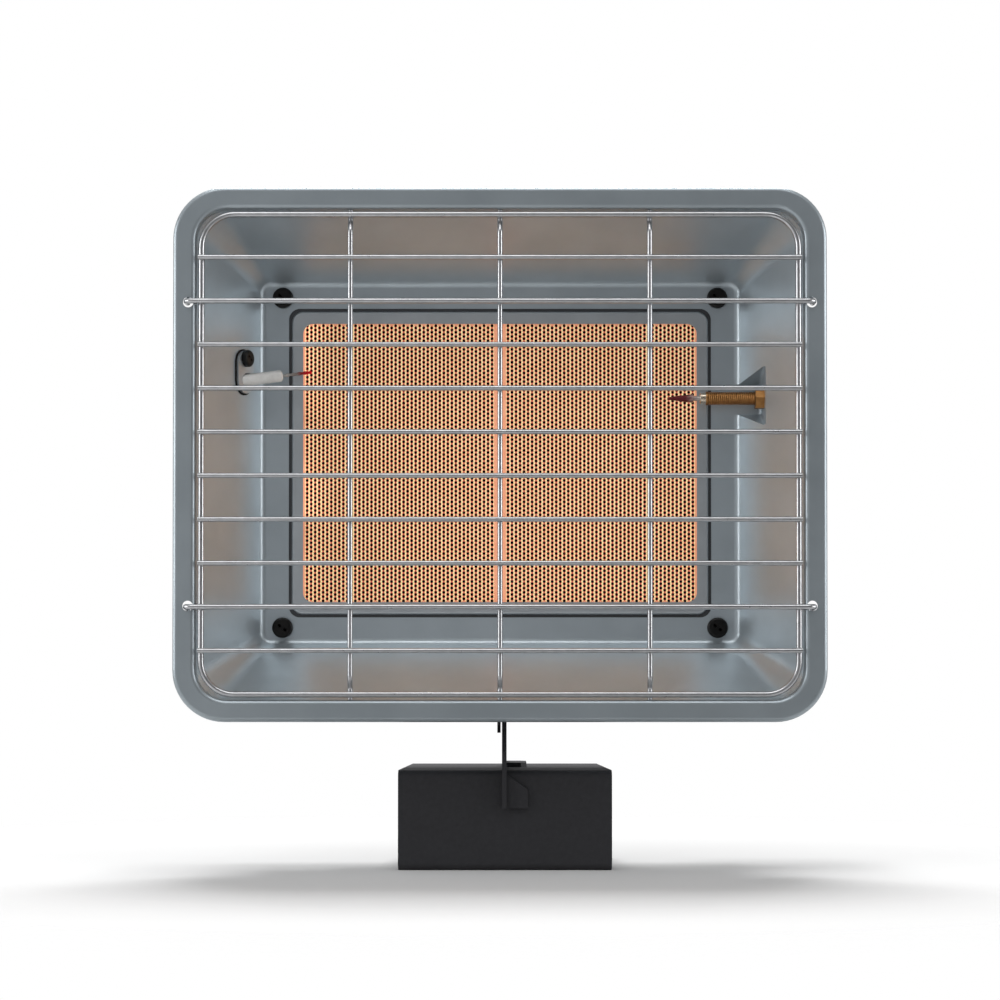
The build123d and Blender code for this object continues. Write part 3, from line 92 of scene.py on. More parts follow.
wall_angle = math.atan2(WALL_MOUTH_X - WALL_FLOOR_X, WALL_DEPTH)
wall_normal = Vector((math.cos(wall_angle), -math.sin(wall_angle), 0))
wall_point = Vector((
    -WALL_MOUTH_X + (ELECTRODE_DEPTH - WALL_FRONT) * math.tan(wall_angle),
    RIM_Y + ELECTRODE_DEPTH,
    HEAD_Z + ELECTRODE_RISE,
))
wire_root = Vector((WIRE_ROOT_X, RIM_Y + WIRE_ROOT_DEPTH, HEAD_Z + WIRE_ROOT_RISE))


# Shader building blocks
def srgb(red, green, blue):
    """Linear colour from 0-255 screen values."""
    linear = []
    for value in (red, green, blue):
        v = value / 255
        linear.append(v / 12.92 if v <= 0.04045 else ((v + 0.055) / 1.055) ** 2.4)
    return (*linear, 1.0)


def grey(level, bluer=0.0):
    """Linear grey, with a little more blue where asked."""
    return (level, level, level + bluer, 1.0)


def link(tree, source, socket):
    tree.links.new(source, socket)


def feed(tree, value, socket):
    """Gives a socket a plain value, or links another socket to it."""
    if isinstance(value, bpy.types.NodeSocket):
        link(tree, value, socket)
    else:
        socket.default_value = value


def principled(mat):
    return mat.node_tree.nodes["Principled BSDF"]


def calculate(tree, operation, *values):
    """Math node over sockets or plain numbers."""
    node = tree.nodes.new("ShaderNodeMath")
    node.operation = operation
    for value, socket in zip(values, node.inputs):
        feed(tree, value, socket)
    return node.outputs[0]


def mix_colours(tree, blend, factor, first, second):
    """Colour mix node over sockets or plain values."""
    node = tree.nodes.new("ShaderNodeMix")
    node.data_type = "RGBA"
    node.blend_type = blend
    feed(tree, factor, node.inputs["Factor"])
    feed(tree, first, node.inputs["A"])
    feed(tree, second, node.inputs["B"])
    return node.outputs["Result"]


def ramp(tree, factor, stops):
    """Colour ramp node through (position, colour) stops."""
    node = tree.nodes.new("ShaderNodeValToRGB")
    elements = node.color_ramp.elements
    elements[0].position, elements[0].color = stops[0]
    elements[1].position, elements[1].color = stops[-1]
    for place, colour in stops[1:-1]:
        new = elements.new(place)
        new.color = colour
    link(tree, factor, node.inputs["Fac"])
    return node.outputs["Color"]


def noise(tree, scale, detail=5.0, offset=(0, 0, 0)):
    """Noise in object space; scale is in cells per metre."""
    coords = tree.nodes.new("ShaderNodeTexCoord")
    mapping = tree.nodes.new("ShaderNodeMapping")
    mapping.inputs["Location"].default_value = offset
    texture = tree.nodes.new("ShaderNodeTexNoise")
    texture.inputs["Scale"].default_value = scale
    texture.inputs["Detail"].default_value = detail
    texture.inputs["Roughness"].default_value = 0.55
    link(tree, coords.outputs["Object"], mapping.inputs["Vector"])
    link(tree, mapping.outputs["Vector"], texture.inputs["Vector"])
    return texture.outputs["Fac"]


def span(tree, value, low, high, start, end):
    """Maps a value from start..end to low..high."""
    node = tree.nodes.new("ShaderNodeMapRange")
    node.inputs["From Min"].default_value = start
    node.inputs["From Max"].default_value = end
    node.inputs["To Min"].default_value = low
    node.inputs["To Max"].default_value = high
    link(tree, value, node.inputs["Value"])
    return node.outputs["Result"]


def position(tree, axis, start, end):
    """0..1 along an axis of object space, between two places in millimetres."""
    coords = tree.nodes.new("ShaderNodeTexCoord")
    split = tree.nodes.new("ShaderNodeSeparateXYZ")
    link(tree, coords.outputs["Object"], split.inputs["Vector"])
    return span(tree, split.outputs[axis], 0.0, 1.0, start * MM, end * MM)


def surface(name, low, high, metallic, rough, scale, bump=0.1, bump_scale=900.0, bump_depth=0.02,
            coat=0.0, sheen=0.0, specular=0.5):
    """A shader with mottled colour, uneven roughness and a fine bump, whose depth is in millimetres."""
    mat = bpy.data.materials.new(name)
    mat.use_nodes = True
    tree = mat.node_tree
    shader = principled(mat)
    shader.inputs["Metallic"].default_value = metallic
    shader.inputs["Coat Weight"].default_value = coat
    shader.inputs["Coat Roughness"].default_value = 0.12
    shader.inputs["Sheen Weight"].default_value = sheen
    shader.inputs["Specular IOR Level"].default_value = specular
    mottle = noise(tree, scale)
    link(tree, ramp(tree, mottle, [(0.2, low), (0.8, high)]), shader.inputs["Base Color"])
    uneven = noise(tree, scale * 1.7, offset=(3, 5, 7))
    link(tree, span(tree, uneven, *rough, 0.2, 0.8), shader.inputs["Roughness"])
    relief = tree.nodes.new("ShaderNodeBump")
    relief.inputs["Strength"].default_value = bump
    relief.inputs["Distance"].default_value = bump_depth * MM
    link(tree, noise(tree, bump_scale, detail=2.0), relief.inputs["Height"])
    link(tree, relief.outputs["Normal"], shader.inputs["Normal"])
    return mat


# Sheet metal, wires and fittings
steel = surface("dish_steel", srgb(168, 178, 184), srgb(184, 194, 200), metallic=0.62, rough=(0.30, 0.38),
                scale=34.0, bump=0.10, bump_scale=1600.0, bump_depth=0.012)
housing_steel = surface("housing_steel", srgb(132, 138, 141), srgb(156, 162, 165), metallic=0.45,
                        rough=(0.32, 0.44), scale=40.0, bump=0.15, bump_scale=900.0, bump_depth=0.015)
frame_steel = surface("frame_steel", srgb(178, 184, 188), srgb(196, 202, 206), metallic=0.74,
                      rough=(0.29, 0.37), scale=60.0, bump=0.1, bump_scale=1600.0, bump_depth=0.012)
zinc = surface("zinc_plate", srgb(176, 176, 170), srgb(206, 206, 200), metallic=1.0, rough=(0.22, 0.34),
               scale=160.0, bump=0.12, bump_scale=2500.0)
wire = surface("bright_wire", srgb(162, 163, 165), srgb(186, 187, 189), metallic=1.0, rough=(0.26, 0.33),
               scale=300.0, bump=0.02, bump_scale=1500.0, bump_depth=0.005)
black_oxide = surface("black_oxide", srgb(12, 12, 12), srgb(28, 28, 27), metallic=0.6, rough=(0.28, 0.42),
                      scale=400.0, bump=0.2, bump_scale=3000.0)
brass = surface("brass", srgb(132, 92, 52), srgb(178, 130, 80), metallic=1.0, rough=(0.26, 0.40),
                scale=420.0, bump=0.15, bump_scale=2500.0)
collar_metal = surface("collar_metal", srgb(196, 180, 160), srgb(226, 214, 196), metallic=1.0,
                       rough=(0.2, 0.3), scale=500.0, bump=0.02)
copper = surface("copper", srgb(170, 96, 66), srgb(206, 128, 92), metallic=1.0, rough=(0.25, 0.38),
                 scale=180.0, bump=0.1)
powder = surface("black_powder_coat", srgb(35, 35, 38), srgb(43, 43, 46), metallic=0.0, rough=(0.46, 0.56),
                 scale=500.0, bump=0.3, bump_scale=2600.0, bump_depth=0.03, specular=0.32)

# Insulators, plastics and rubber
ceramic_white = surface("glazed_ceramic", srgb(212, 211, 207), srgb(238, 237, 234), metallic=0.0,
                        rough=(0.14, 0.24), scale=260.0, bump=0.08, bump_scale=1800.0, coat=0.4)
fibre = surface("ceramic_fibre", srgb(196, 190, 178), srgb(226, 222, 212), metallic=0.0, rough=(0.85, 0.97),
                scale=260.0, bump=0.8, bump_scale=1600.0, bump_depth=0.2, sheen=0.3)
# Painted shade: the pad under the electrode plate is near black, standing for the shadow in the gap under
# the plate
electrode_pad_shade = surface("electrode_pad_painted_shade", srgb(14, 14, 14), srgb(26, 25, 25), metallic=0.0, rough=(0.8, 0.92),
                   scale=700.0, bump=0.4, bump_scale=2600.0, bump_depth=0.05, specular=0.2)
plastic = surface("black_plastic", srgb(22, 22, 23), srgb(36, 36, 37), metallic=0.0, rough=(0.38, 0.5),
                  scale=240.0, bump=0.2, bump_scale=2400.0, bump_depth=0.03)
red_plastic = surface("red_plastic", srgb(150, 18, 14), srgb(182, 28, 20), metallic=0.0, rough=(0.22, 0.32),
                      scale=240.0, bump=0.06)
rubber = surface("black_rubber", srgb(22, 22, 23), srgb(38, 38, 38), metallic=0.0, rough=(0.58, 0.72),
                 scale=400.0, bump=0.25, bump_scale=2600.0, bump_depth=0.03)


# Hot metal, coloured along its length
PROBE_TINT_GAP = 0.6
WIRE_TINT_GAP = 0.2
WIRE_TINT_LENGTH = 13.0


def tint_along(mat, start, end, stops, glow):
    """Colours a material by its place along x, with glow strength at the hot end."""
    tree = mat.node_tree
    shader = principled(mat)
    grain = 0.25
    along = position(tree, "X", start, end)
    shifted = calculate(tree, "SUBTRACT", along, grain / 2)
    uneven = calculate(tree, "MULTIPLY_ADD", noise(tree, 700.0), grain, shifted)
    colour = ramp(tree, uneven, stops)
    link(tree, colour, shader.inputs["Base Color"])
    link(tree, colour, shader.inputs["Emission Color"])
    link(tree, span(tree, along, 0.0, glow, 0.35, 1.0), shader.inputs["Emission Strength"])
    return mat


hot_probe = tint_along(
    surface("heat_tinted_probe", srgb(90, 60, 60), srgb(120, 80, 80), metallic=0.8, rough=(0.3, 0.42),
            scale=500.0),
    start=probe_box[1][X] - PROBE_TINT_GAP,
    end=probe_box[0][X],
    stops=[
        (0.0, srgb(190, 186, 182)),
        (0.22, srgb(150, 120, 116)),
        (0.4, srgb(96, 40, 44)),
        (1.0, srgb(92, 30, 34)),
    ],
    glow=0.12,
)
hot_wire = tint_along(
    surface("heat_tinted_wire", srgb(120, 100, 98), srgb(150, 130, 126), metallic=0.8, rough=(0.3, 0.42),
            scale=500.0),
    start=WIRE_ROOT_X - WIRE_TINT_GAP,
    end=WIRE_ROOT_X - WIRE_TINT_GAP + WIRE_TINT_LENGTH,
    stops=[
        (0.0, srgb(186, 184, 180)),
        (0.5, srgb(128, 118, 112)),
        (0.66, srgb(118, 40, 40)),
        (0.78, srgb(150, 20, 26)),
        (1.0, srgb(184, 18, 24)),
    ],
    glow=0.5,
)


# Glowing ceramic
PATCH_START = 18.0
PATCH_END = 2.0


def glowing(name, low, high, glow):
    """Porous ceramic that glows a little, with a hotter patch at its left edge."""
    mat = surface(name, low, high, metallic=0.0, rough=(0.79, 0.91), scale=240.0, bump=0.3,
                  bump_scale=2600.0, bump_depth=0.05)
    tree = mat.node_tree
    shader = principled(mat)
    mottle = noise(tree, 90.0, offset=(1, 2, 3))
    link(tree, ramp(tree, mottle, [(0.3, low), (0.7, high)]), shader.inputs["Emission Color"])
    patch = span(tree, noise(tree, 34.0, offset=(9, 4, 1), detail=2.0), 0.0, 1.1, 0.42, 0.62)
    near_edge = position(tree, "X", LEFT_EDGE_X + PATCH_START, LEFT_EDGE_X + PATCH_END)
    hotter = calculate(tree, "MULTIPLY", near_edge, patch)
    link(tree, calculate(tree, "MULTIPLY_ADD", hotter, glow, glow), shader.inputs["Emission Strength"])
    return mat


ceramic_face = glowing("plaque_face", srgb(248, 214, 152), srgb(254, 240, 182), 0.46)
ceramic_ridge = glowing("plaque_ridge", srgb(216, 80, 64), srgb(230, 108, 90), 0.30)
ceramic_ember = glowing("plaque_ember", srgb(234, 148, 112), srgb(244, 176, 140), 0.38)
# Painted shade: the walls of the holes are dark brown and glow little, for the shade inside each hole
ceramic_bore = glowing("plaque_bore", srgb(84, 34, 22), srgb(110, 50, 32), 0.03)
# Painted shade: the floor a short way down each hole is near black, standing for the dark depth of the hole
ceramic_hole_shade = surface("plaque_bore_floor_shade", srgb(20, 11, 8), srgb(34, 20, 14), metallic=0.0,
                       rough=(0.85, 0.95), scale=900.0)
ceramic_body = glowing("plaque_body", srgb(222, 170, 138), srgb(236, 190, 158), 0.1)


# Shade painted in the frame's groove, and shade painted on the dish's rim for the dark room that the rim
# reflects
def blend_along_depth(mat, start, end, blend, colour):
    """Blends a colour into a material's own, from nothing at one depth to all of it at the other."""
    tree = mat.node_tree
    socket = principled(mat).inputs["Base Color"]
    source = socket.links[0].from_socket
    link(tree, mix_colours(tree, blend, position(tree, "Y", start, end), source, colour), socket)


GROOVE_DEPTH = 1.15
GROOVE_BLEND = 0.25
RIM_DEPTH = 2.2
RIM_BLEND = 1.0
groove_y = frame_box[0][Y] + GROOVE_DEPTH
rim_back_y = RIM_Y + RIM_DEPTH
# Painted shade: the frame behind the groove's edge is coloured dark grey
blend_along_depth(frame_steel, groove_y - GROOVE_BLEND, groove_y, "MIX", srgb(80, 82, 84))
# Painted shade: the front of the rim is darkened, standing for the dark room that it reflects
blend_along_depth(steel, rim_back_y, rim_back_y - RIM_BLEND, "MULTIPLY", grey(0.68))

# Finishes of the CAD nodes; those that aren't listed are zinc plated, or are replaced by pieces
finishes = [
    (steel, ["reflector"]),
    (housing_steel, ["burner_housing"]),
    (frame_steel, ["burner_frame", "electrode_plate"]),
    (wire, ["guard_ring", "guard_cross_wires", "guard_hook_wires", "guard_upright_wires"]),
    (fibre, ["plaque_gasket"]),
    (electrode_pad_shade, ["electrode_pad"]),
    (brass, ["thermocouple_nuts", "thermocouple_lead_nut", "injector", "valve_body", "valve_neck_nut"]),
    (copper, ["thermocouple_lead"]),
    (hot_probe, ["thermocouple_probe"]),
    (ceramic_white, ["electrode_insulator"]),
    (plastic, ["control_knob", "igniter_body", "igniter_nut"]),
    (red_plastic, ["igniter_button"]),
    (rubber, ["electrode_boot", "igniter_boot", "ignition_lead"]),
    (powder, ["head_bracket", "stand_plate", "stand_base"]),
]
finish_of = {node_name: mat for mat, node_names in finishes for node_name in node_names}
for node_name, node in nodes.items():
    node.data.materials.clear()
    node.data.materials.append(finish_of.get(node_name, zinc))


# Pieces
def add_piece(name, mesh, body, replaced=()):
    """Puts a mesh in the scene as a piece that rides on a CAD body."""
    piece = bpy.data.objects.new(name, mesh)
    scene.collection.objects.link(piece)
    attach(piece, body)
    if replaced:
        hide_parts(*replaced)


def mesh_from(name, points, faces, materials=(), face_materials=None, smooth=False):
    """Mesh from points in millimetres."""
    mesh = bpy.data.meshes.new(name)
    mesh.from_pydata([(x * MM, y * MM, z * MM) for x, y, z in points], [], faces)
    for mat in materials:
        mesh.materials.append(mat)
    if face_materials:
        mesh.polygons.foreach_set("material_index", face_materials)
    mesh.polygons.foreach_set("use_smooth", [smooth] * len(mesh.polygons))
    mesh.update()
    return mesh


# Plaques with staggered columns of holes, a little inside the CAD plaques at their sides
SIDE_GAP = 0.1
PLAQUE_INNER = plaque_box[0][X] + SIDE_GAP
PLAQUE_OUTER = plaque_box[1][X] - SIDE_GAP
PLAQUE_HALF_Z = half(plaque_box, Z) - SIDE_GAP
FACE_Y = plaque_box[0][Y]
BACK_Y = plaque_box[1][Y]
INNER_BAND = 2.7
COLUMNS = 47
COLUMN_WIDTH = 1.82
ROWS_EACH_WAY = 32
ROW_PITCH = 1.95
HOLE_RADIUS = 0.71
HOLE_DEPTH = 2.2
HOLE_SIDES = 8
FACE, RIDGE, BORE, BORE_FLOOR, BODY, EMBER = range(6)
PLAQUE_MATERIALS = [ceramic_face, ceramic_ridge, ceramic_bore, ceramic_hole_shade, ceramic_body, ceramic_ember]


def hole_outlines():
    """Points on the cell's border, points of the hole's rim in the same directions, and the corners."""
    half_width, half_height = COLUMN_WIDTH / 2, ROW_PITCH / 2
    border, rim = [], []
    for k in range(HOLE_SIDES):
        angle = FULL_TURN * (k + 0.5) / HOLE_SIDES
        across, up = math.cos(angle), math.sin(angle)
        reach = max(abs(across), abs(up))
        border.append((half_width * across / reach, half_height * up / reach))
        rim.append((HOLE_RADIUS * across, HOLE_RADIUS * up))
    corners = [(half_width * sx, half_height * sz) for sx, sz in QUADRANTS]
    return border, rim, corners


BORDER, RIM, CORNERS = hole_outlines()


def hole_cell(centre_x, centre_z):
    """Points, faces and face kinds of one cell of the front face, with its hole."""
    points = [(centre_x + x, FACE_Y, centre_z + z) for x, z in BORDER + RIM]
    points += [(centre_x + x, FACE_Y + HOLE_DEPTH, centre_z + z) for x, z in RIM]
    points += [(centre_x + x, FACE_Y, centre_z + z) for x, z in CORNERS]
    rim, bottom, corner = HOLE_SIDES, 2 * HOLE_SIDES, 3 * HOLE_SIDES
    faces, kinds = [], []
    for i in range(HOLE_SIDES):
        j = (i + 1) % HOLE_SIDES
        faces.append((j, i, rim + i, rim + j))
        kinds.append((EMBER, RIDGE, EMBER, FACE)[i % 4])
        faces.append((rim + j, rim + i, bottom + i, bottom + j))
        kinds.append(BORE)
    for k in range(4):
        faces.append((corner + k, 2 * k, 2 * k + 1))
        kinds.append(FACE)
    faces.append(tuple(bottom + i for i in reversed(range(HOLE_SIDES))))
    kinds.append(BORE_FLOOR)
    return points, faces, kinds


def perforated_plaque(mesh_name, side):
    """Ceramic block with a perforated front; side is -1 for the left plaque and 1 for the right."""
    points, faces, kinds = [], [], []

    def add(new_points, new_faces, new_kinds):
        start = len(points)
        points.extend(new_points)
        faces.extend(tuple(start + i for i in face) for face in new_faces)
        kinds.extend(new_kinds)

    def quad(corners, kind):
        add(corners, [(0, 1, 2, 3)], [kind])

    def flat(x0, x1, z0, z1):
        """Plain rectangle of the front face."""
        left, right = sorted((side * x0, side * x1))
        bottom, top = HEAD_Z + z0, HEAD_Z + z1
        corners = [(left, bottom), (right, bottom), (right, top), (left, top)]
        quad([(x, FACE_Y, z) for x, z in corners], EMBER)

    flat(PLAQUE_INNER, INNER_BAND, -PLAQUE_HALF_Z, PLAQUE_HALF_Z)
    flat(INNER_BAND + COLUMNS * COLUMN_WIDTH, PLAQUE_OUTER, -PLAQUE_HALF_Z, PLAQUE_HALF_Z)
    for column in range(COLUMNS):
        staggered = column % 2
        x0 = INNER_BAND + column * COLUMN_WIDTH
        shift = staggered * ROW_PITCH / 2
        rows = range(-ROWS_EACH_WAY, ROWS_EACH_WAY + 1 - staggered)
        flat(x0, x0 + COLUMN_WIDTH, -PLAQUE_HALF_Z, (rows[0] - 0.5) * ROW_PITCH + shift)
        flat(x0, x0 + COLUMN_WIDTH, (rows[-1] + 0.5) * ROW_PITCH + shift, PLAQUE_HALF_Z)
        for row in rows:
            add(*hole_cell(side * (x0 + COLUMN_WIDTH / 2), HEAD_Z + row * ROW_PITCH + shift))
    xa, xb = sorted((side * PLAQUE_INNER, side * PLAQUE_OUTER))
    za, zb = HEAD_Z - PLAQUE_HALF_Z, HEAD_Z + PLAQUE_HALF_Z
    quad([(xa, BACK_Y, za), (xa, BACK_Y, zb), (xb, BACK_Y, zb), (xb, BACK_Y, za)], BODY)
    quad([(xa, FACE_Y, za), (xa, BACK_Y, za), (xb, BACK_Y, za), (xb, FACE_Y, za)], BODY)
    quad([(xa, FACE_Y, zb), (xb, FACE_Y, zb), (xb, BACK_Y, zb), (xa, BACK_Y, zb)], BODY)
    quad([(xa, FACE_Y, za), (xa, FACE_Y, zb), (xa, BACK_Y, zb), (xa, BACK_Y, za)], BODY)
    quad([(xb, FACE_Y, za), (xb, BACK_Y, za), (xb, BACK_Y, zb), (xb, FACE_Y, zb)], BODY)
    return mesh_from(mesh_name, points, faces, PLAQUE_MATERIALS, kinds)


add_piece("perforated_plaque_left", perforated_plaque("plaque_face_left", -1), "head",
          ["plaque_left"])
add_piece("perforated_plaque_right", perforated_plaque("plaque_face_right", 1), "head",
          ["plaque_right"])


# Tubes whose outline follows a formula
def stations(length, step):
    """Distances from 0 to a length, a step apart."""
    return [i * step for i in range(round(length / step) + 1)]


def tube_mesh(name, start, direction, distances, radius_at, mat, around, smooth=True):
    """Closed tube along a direction; radius_at(distance, angle) gives its outline."""
    axis = Vector(direction).normalized()
    across = axis.orthogonal().normalized()
    other = axis.cross(across)
    points, faces = [], []
    for distance in distances:
        for k in range(around):
            angle = FULL_TURN * k / around
            outward = across * math.cos(angle) + other * math.sin(angle)
            points.append(tuple(Vector(start) + axis * distance + outward * radius_at(distance, angle)))
    last_ring = (len(distances) - 1) * around
    for ring in range(0, last_ring, around):
        for k in range(around):
            a = ring + k
            b = ring + (k + 1) % around
            faces.append((a, b, b + around, a + around))
    faces.append(tuple(reversed(range(around))))
    faces.append(tuple(last_ring + k for k in range(around)))
    return mesh_from(name, points, faces, [mat], smooth=smooth)


# Thermocouple sleeve: a rolled thread, and the bright collar at its tip
SLEEVE_SIDES = 32
COLLAR_LENGTH = 2.75
COLLAR_RADIUS = 2.45
COLLAR_CHAMFER = 0.25
THREAD_IN_COLLAR = 0.05
THREAD_RADIUS = half(sleeve_box, Z) - 0.02
THREAD_DEPTH = 0.34
THREAD_PITCH = 0.9
THREAD_STEP = 0.15
PLAIN_AT_COLLAR = 0.95
PLAIN_AT_NUT = 0.85
sleeve_tip = (sleeve_box[0][X], middle(sleeve_box, Y), middle(sleeve_box, Z))
thread_start = (sleeve_tip[X] + COLLAR_LENGTH - THREAD_IN_COLLAR, sleeve_tip[Y], sleeve_tip[Z])
thread_length = sleeve_box[1][X] - thread_start[X]


def thread_radius(distance, angle):
    """Sleeve radius of a rolled thread, plain near both ends."""
    if not PLAIN_AT_COLLAR < distance < thread_length - PLAIN_AT_NUT:
        return THREAD_RADIUS
    turn = FULL_TURN * distance / THREAD_PITCH - angle
    return THREAD_RADIUS - THREAD_DEPTH * (0.5 + 0.5 * math.cos(turn))


def collar_radius(distance, angle):
    """Collar radius, the same all round, chamfered at the tip."""
    return COLLAR_RADIUS if distance else COLLAR_RADIUS - COLLAR_CHAMFER


add_piece(
    "sleeve_thread",
    tube_mesh("sleeve_thread", thread_start, (1, 0, 0), stations(thread_length, THREAD_STEP), thread_radius,
              brass, SLEEVE_SIDES),
    "head", ["thermocouple_sleeve"],
)
add_piece(
    "sleeve_collar",
    tube_mesh("sleeve_collar", sleeve_tip, (1, 0, 0), [0, COLLAR_CHAMFER, COLLAR_LENGTH], collar_radius,
              collar_metal, SLEEVE_SIDES, smooth=False),
    "head",
)

# Electrode wire: a flat strip twisted along its length
STRIP_RADIUS = 0.84
STRIP_THINNING = 0.24
STRIP_TWIST = 1.15
STRIP_STEP = 0.2
STRIP_LENGTH = 17.2
STRIP_IN_CERAMIC = 3.9
STRIP_SIDES = 28
wire_direction = (wire_root - wall_point).normalized()


def twisted_radius(distance, angle):
    """Outline of a strip that turns by STRIP_TWIST radians in each millimetre."""
    return STRIP_RADIUS - STRIP_THINNING * abs(math.sin(angle - distance * STRIP_TWIST))


add_piece(
    "twisted_wire",
    tube_mesh("twisted_wire", wire_root - wire_direction * STRIP_IN_CERAMIC, wire_direction,
              stations(STRIP_LENGTH, STRIP_STEP), twisted_radius, hot_wire, STRIP_SIDES),
    "head", ["electrode_wire"],
)

# Cross recesses in the visible screw heads
LARGE_RECESS = {"length": 5.4, "width": 1.15, "depth": 1.9}
SMALL_RECESS = {"length": 4.2, "width": 0.85, "depth": 1.4}
RECESS_TURN = math.radians(8)
CUTTER_ABOVE = 0.6


def cutter(places, normal, length, width, depth):
    """Crossed tapering blades that cut a screw recess at each place."""
    axis = Vector(normal).normalized()
    across = Matrix.Rotation(RECESS_TURN, 3, axis) @ axis.orthogonal().normalized()
    other = axis.cross(across)
    blade_sides = [(k, 4 + k, 4 + (k + 1) % 4, (k + 1) % 4) for k in range(4)]
    points, faces = [], []
    for place in places:
        for along, thick in ((across, other), (other, across)):
            start = len(points)
            for out, half_length in ((CUTTER_ABOVE, length / 2), (-depth, length / 5)):
                level = Vector(place) + axis * out
                for su, sv in QUADRANTS:
                    points.append(tuple(level + along * (su * half_length) + thick * (sv * width / 2)))
            for face in [(0, 1, 2, 3), (7, 6, 5, 4)] + blade_sides:
                faces.append(tuple(start + i for i in face))
    mesh = mesh_from("recess_cutter", points, faces)
    mesh.flip_normals()
    return mesh


def recessed(name, node_name, places, normal, mat, recess):
    """Copy of a CAD node with screw recesses cut into it, in place of that node."""
    tool = bpy.data.objects.new("tool", cutter(places, normal, **recess))
    scene.collection.objects.link(tool)
    body = bpy.data.objects.new("body", nodes[node_name].data.copy())
    scene.collection.objects.link(body)
    cut = body.modifiers.new("cut", "BOOLEAN")
    cut.operation = "DIFFERENCE"
    cut.solver = "EXACT"
    cut.use_self = True
    cut.object = tool
    bpy.context.view_layer.update()
    mesh = bpy.data.meshes.new_from_object(body.evaluated_get(bpy.context.evaluated_depsgraph_get()))
    bpy.data.objects.remove(body)
    bpy.data.objects.remove(tool)
    mesh.name = name
    mesh.materials.clear()
    mesh.materials.append(mat)
    add_piece(name, mesh, "head", [node_name])


# Corner screws, set in from the frame's edges
CORNER_INSET_X = 5.8
CORNER_INSET_Z = 5.4
corner_x = frame_box[1][X] - CORNER_INSET_X
corner_z = half(frame_box, Z) - CORNER_INSET_Z
corner_head_y = corner_screws_box[0][Y]
recessed(
    "phillips_screws", "burner_screws",
    [(sx * corner_x, corner_head_y, HEAD_Z + sz * corner_z) for sx in (-1, 1) for sz in (-1, 1)],
    (0, -1, 0), black_oxide, LARGE_RECESS,
)

# Electrode screw, whose head stands on the plate and its pad
PAD_THICKNESS = 0.5
PLATE_THICKNESS = 1.0
HEAD_HEIGHT = 2.4
SCREW_RISE = 9.8
head_out = PAD_THICKNESS + PLATE_THICKNESS + HEAD_HEIGHT
electrode_screw_place = wall_point + wall_normal * head_out + Vector((0, 0, SCREW_RISE))
recessed("electrode_screw_recessed", "electrode_screw", [electrode_screw_place], wall_normal,
         black_oxide, SMALL_RECESS)

# Strap screws, set in from the strap's long edges
STRAP_HEAD_RADIUS = 3.8
STRAP_INSET = 6.5
strap_screw_x = strap_screws_box[1][X] - STRAP_HEAD_RADIUS
strap_screw_z = half(strap_box, Z) - STRAP_INSET
strap_head_y = strap_screws_box[1][Y]
recessed(
    "strap_screws_recessed", "strap_screws",
    [(sx * strap_screw_x, strap_head_y, middle(strap_box, Z) + sz * strap_screw_z)
     for sx in (-1, 1) for sz in (-1, 1)],
    (0, 1, 0), zinc, SMALL_RECESS,
)

# Floor that fades out round the heater; the fade is in metres
FLOOR_HALF = 6000.0
FADE_START = 0.24
FADE_END = 0.40
floor_corners = [(sx * FLOOR_HALF, sy * FLOOR_HALF, 0) for sx, sy in QUADRANTS]
floor_mesh = mesh_from("floor", floor_corners, [(0, 1, 2, 3)])
floor = bpy.data.objects.new("floor", floor_mesh)
scene.collection.objects.link(floor)
floor_mat = surface("pale_floor", grey(0.47), grey(0.49), metallic=0.0, rough=(0.8, 0.9), scale=3.0,
                    bump=0.0, specular=0.1)
floor_mesh.materials.append(floor_mat)
tree = floor_mat.node_tree
coords = tree.nodes.new("ShaderNodeTexCoord")
reach = tree.nodes.new("ShaderNodeVectorMath")
reach.operation = "LENGTH"
link(tree, coords.outputs["Object"], reach.inputs[0])
clear = tree.nodes.new("ShaderNodeBsdfTransparent")
fading = tree.nodes.new("ShaderNodeMixShader")
link(tree, span(tree, reach.outputs["Value"], 0.0, 1.0, FADE_START, FADE_END), fading.inputs["Fac"])
link(tree, principled(floor_mat).outputs["BSDF"], fading.inputs[1])
link(tree, clear.outputs["BSDF"], fading.inputs[2])
link(tree, fading.outputs["Shader"], tree.nodes["Material Output"].inputs["Surface"])

# Studio round the heater: grey bands for the metal to reflect, and white behind for the camera
world = bpy.data.worlds.new("studio")
scene.world = world
world.use_nodes = True
tree = world.node_tree
tree.nodes.clear()
coords = tree.nodes.new("ShaderNodeTexCoord")
split = tree.nodes.new("ShaderNodeSeparateXYZ")
link(tree, coords.outputs["Generated"], split.inputs["Vector"])
by_height = ramp(tree, span(tree, split.outputs["Z"], 0.0, 1.0, -1.0, 1.0), [
    (0.0, grey(1.2)),
    (0.36, grey(0.9)),
    (0.47, grey(0.34, bluer=0.01)),
    (0.64, grey(0.30, bluer=0.01)),
    (0.80, grey(0.6)),
    (1.0, grey(0.7)),
])
by_side = ramp(tree, span(tree, split.outputs["X"], 0.0, 1.0, -1.0, 1.0), [
    (0.0, grey(0.7)),
    (0.40, grey(0.9)),
    (0.47, grey(0.8)),
    (0.55, grey(0.10)),
    (0.66, grey(0.3)),
    (1.0, grey(0.7)),
])
bands = tree.nodes.new("ShaderNodeBackground")
link(tree, mix_colours(tree, "MULTIPLY", 1.0, by_height, by_side), bands.inputs["Color"])
bands.inputs["Strength"].default_value = 1.35
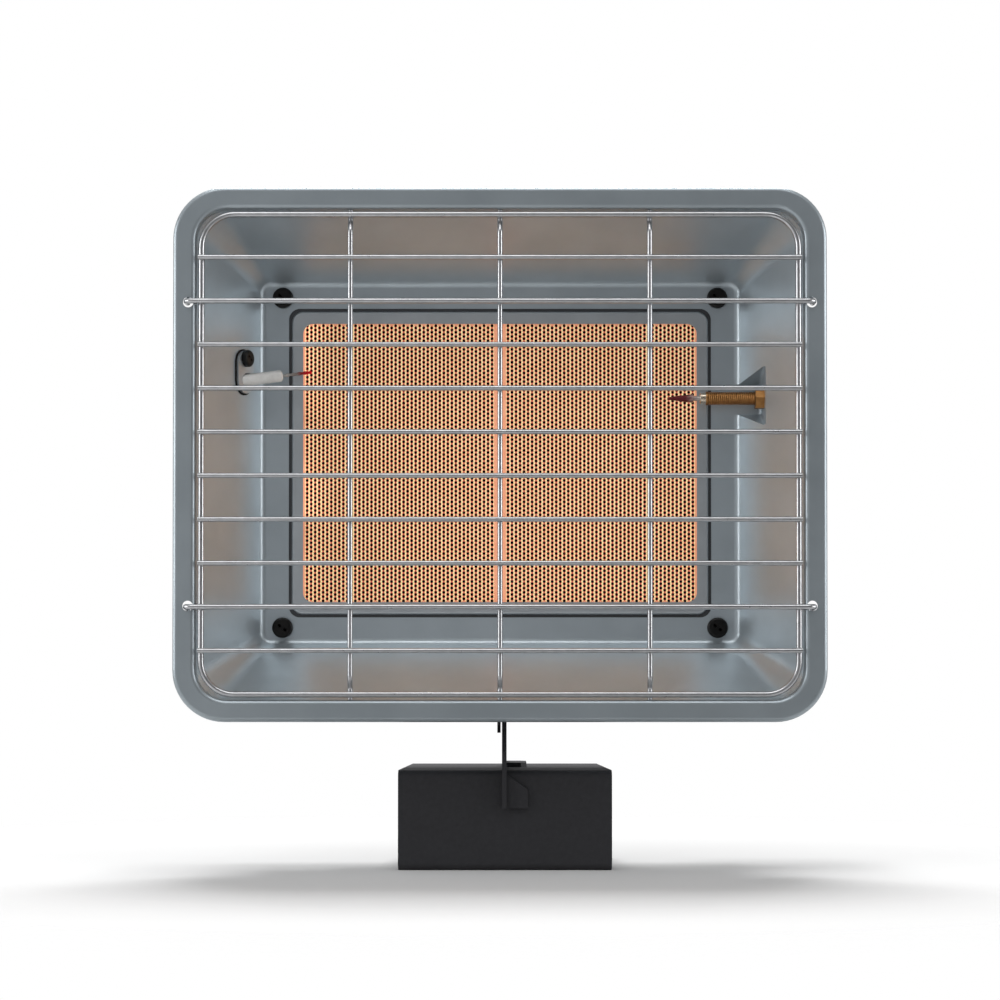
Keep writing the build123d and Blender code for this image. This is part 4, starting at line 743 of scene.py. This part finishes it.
white = tree.nodes.new("ShaderNodeBackground")
white.inputs["Color"].default_value = grey(1.0)
path = tree.nodes.new("ShaderNodeLightPath")
either = tree.nodes.new("ShaderNodeMixShader")
output = tree.nodes.new("ShaderNodeOutputWorld")
link(tree, path.outputs["Is Camera Ray"], either.inputs["Fac"])
link(tree, bands.outputs["Background"], either.inputs[1])
link(tree, white.outputs["Background"], either.inputs[2])
link(tree, either.outputs["Shader"], output.inputs["Surface"])


# Lamps, with places and sizes in metres
def area_light(name, place, target, size, watts):
    """Soft rectangular light aimed at a place."""
    data = bpy.data.lights.new(name, "AREA")
    data.shape = "RECTANGLE"
    data.size, data.size_y = size
    data.energy = watts
    lamp = bpy.data.objects.new(name, data)
    scene.collection.objects.link(lamp)
    lamp.location = place
    aim = Vector(target) - Vector(place)
    lamp.rotation_mode = "QUATERNION"
    lamp.rotation_quaternion = aim.to_track_quat("-Z", "Y")


area_light("side_left", place=(-1.9, -0.45, 0.50), target=(0, 0, 0.18), size=(1.6, 1.0), watts=21.0)
area_light("side_right", place=(1.9, -0.42, 0.50), target=(0, 0, 0.18), size=(1.6, 1.0), watts=21.0)
area_light("front_top", place=(0, -0.9, 1.8), target=(0, 0, 0.15), size=(1.6, 0.9), watts=13.0)
area_light("top", place=(0, 1.15, 2.8), target=(0, 0, 0), size=(1.5, 1.1), watts=130.0)

# Camera, fitted to the photo: its place in metres and how far it looks up in degrees
CAMERA_DISTANCE = 1.2035
CAMERA_HEIGHT = 0.0881
CAMERA_UP = 1.087
camera_data = bpy.data.cameras.new("camera")
camera_data.sensor_width = 36.0
camera_data.lens = 94.84
camera_data.shift_y = 0.12
camera_data.clip_start = 0.05
camera_data.clip_end = 60.0
camera = bpy.data.objects.new("camera", camera_data)
scene.collection.objects.link(camera)
scene.camera = camera
camera.location = (0.0, -CAMERA_DISTANCE, CAMERA_HEIGHT)
camera.rotation_euler = (math.radians(90 + CAMERA_UP), 0.0, 0.0)
scene.view_settings.view_transform = "Standard"
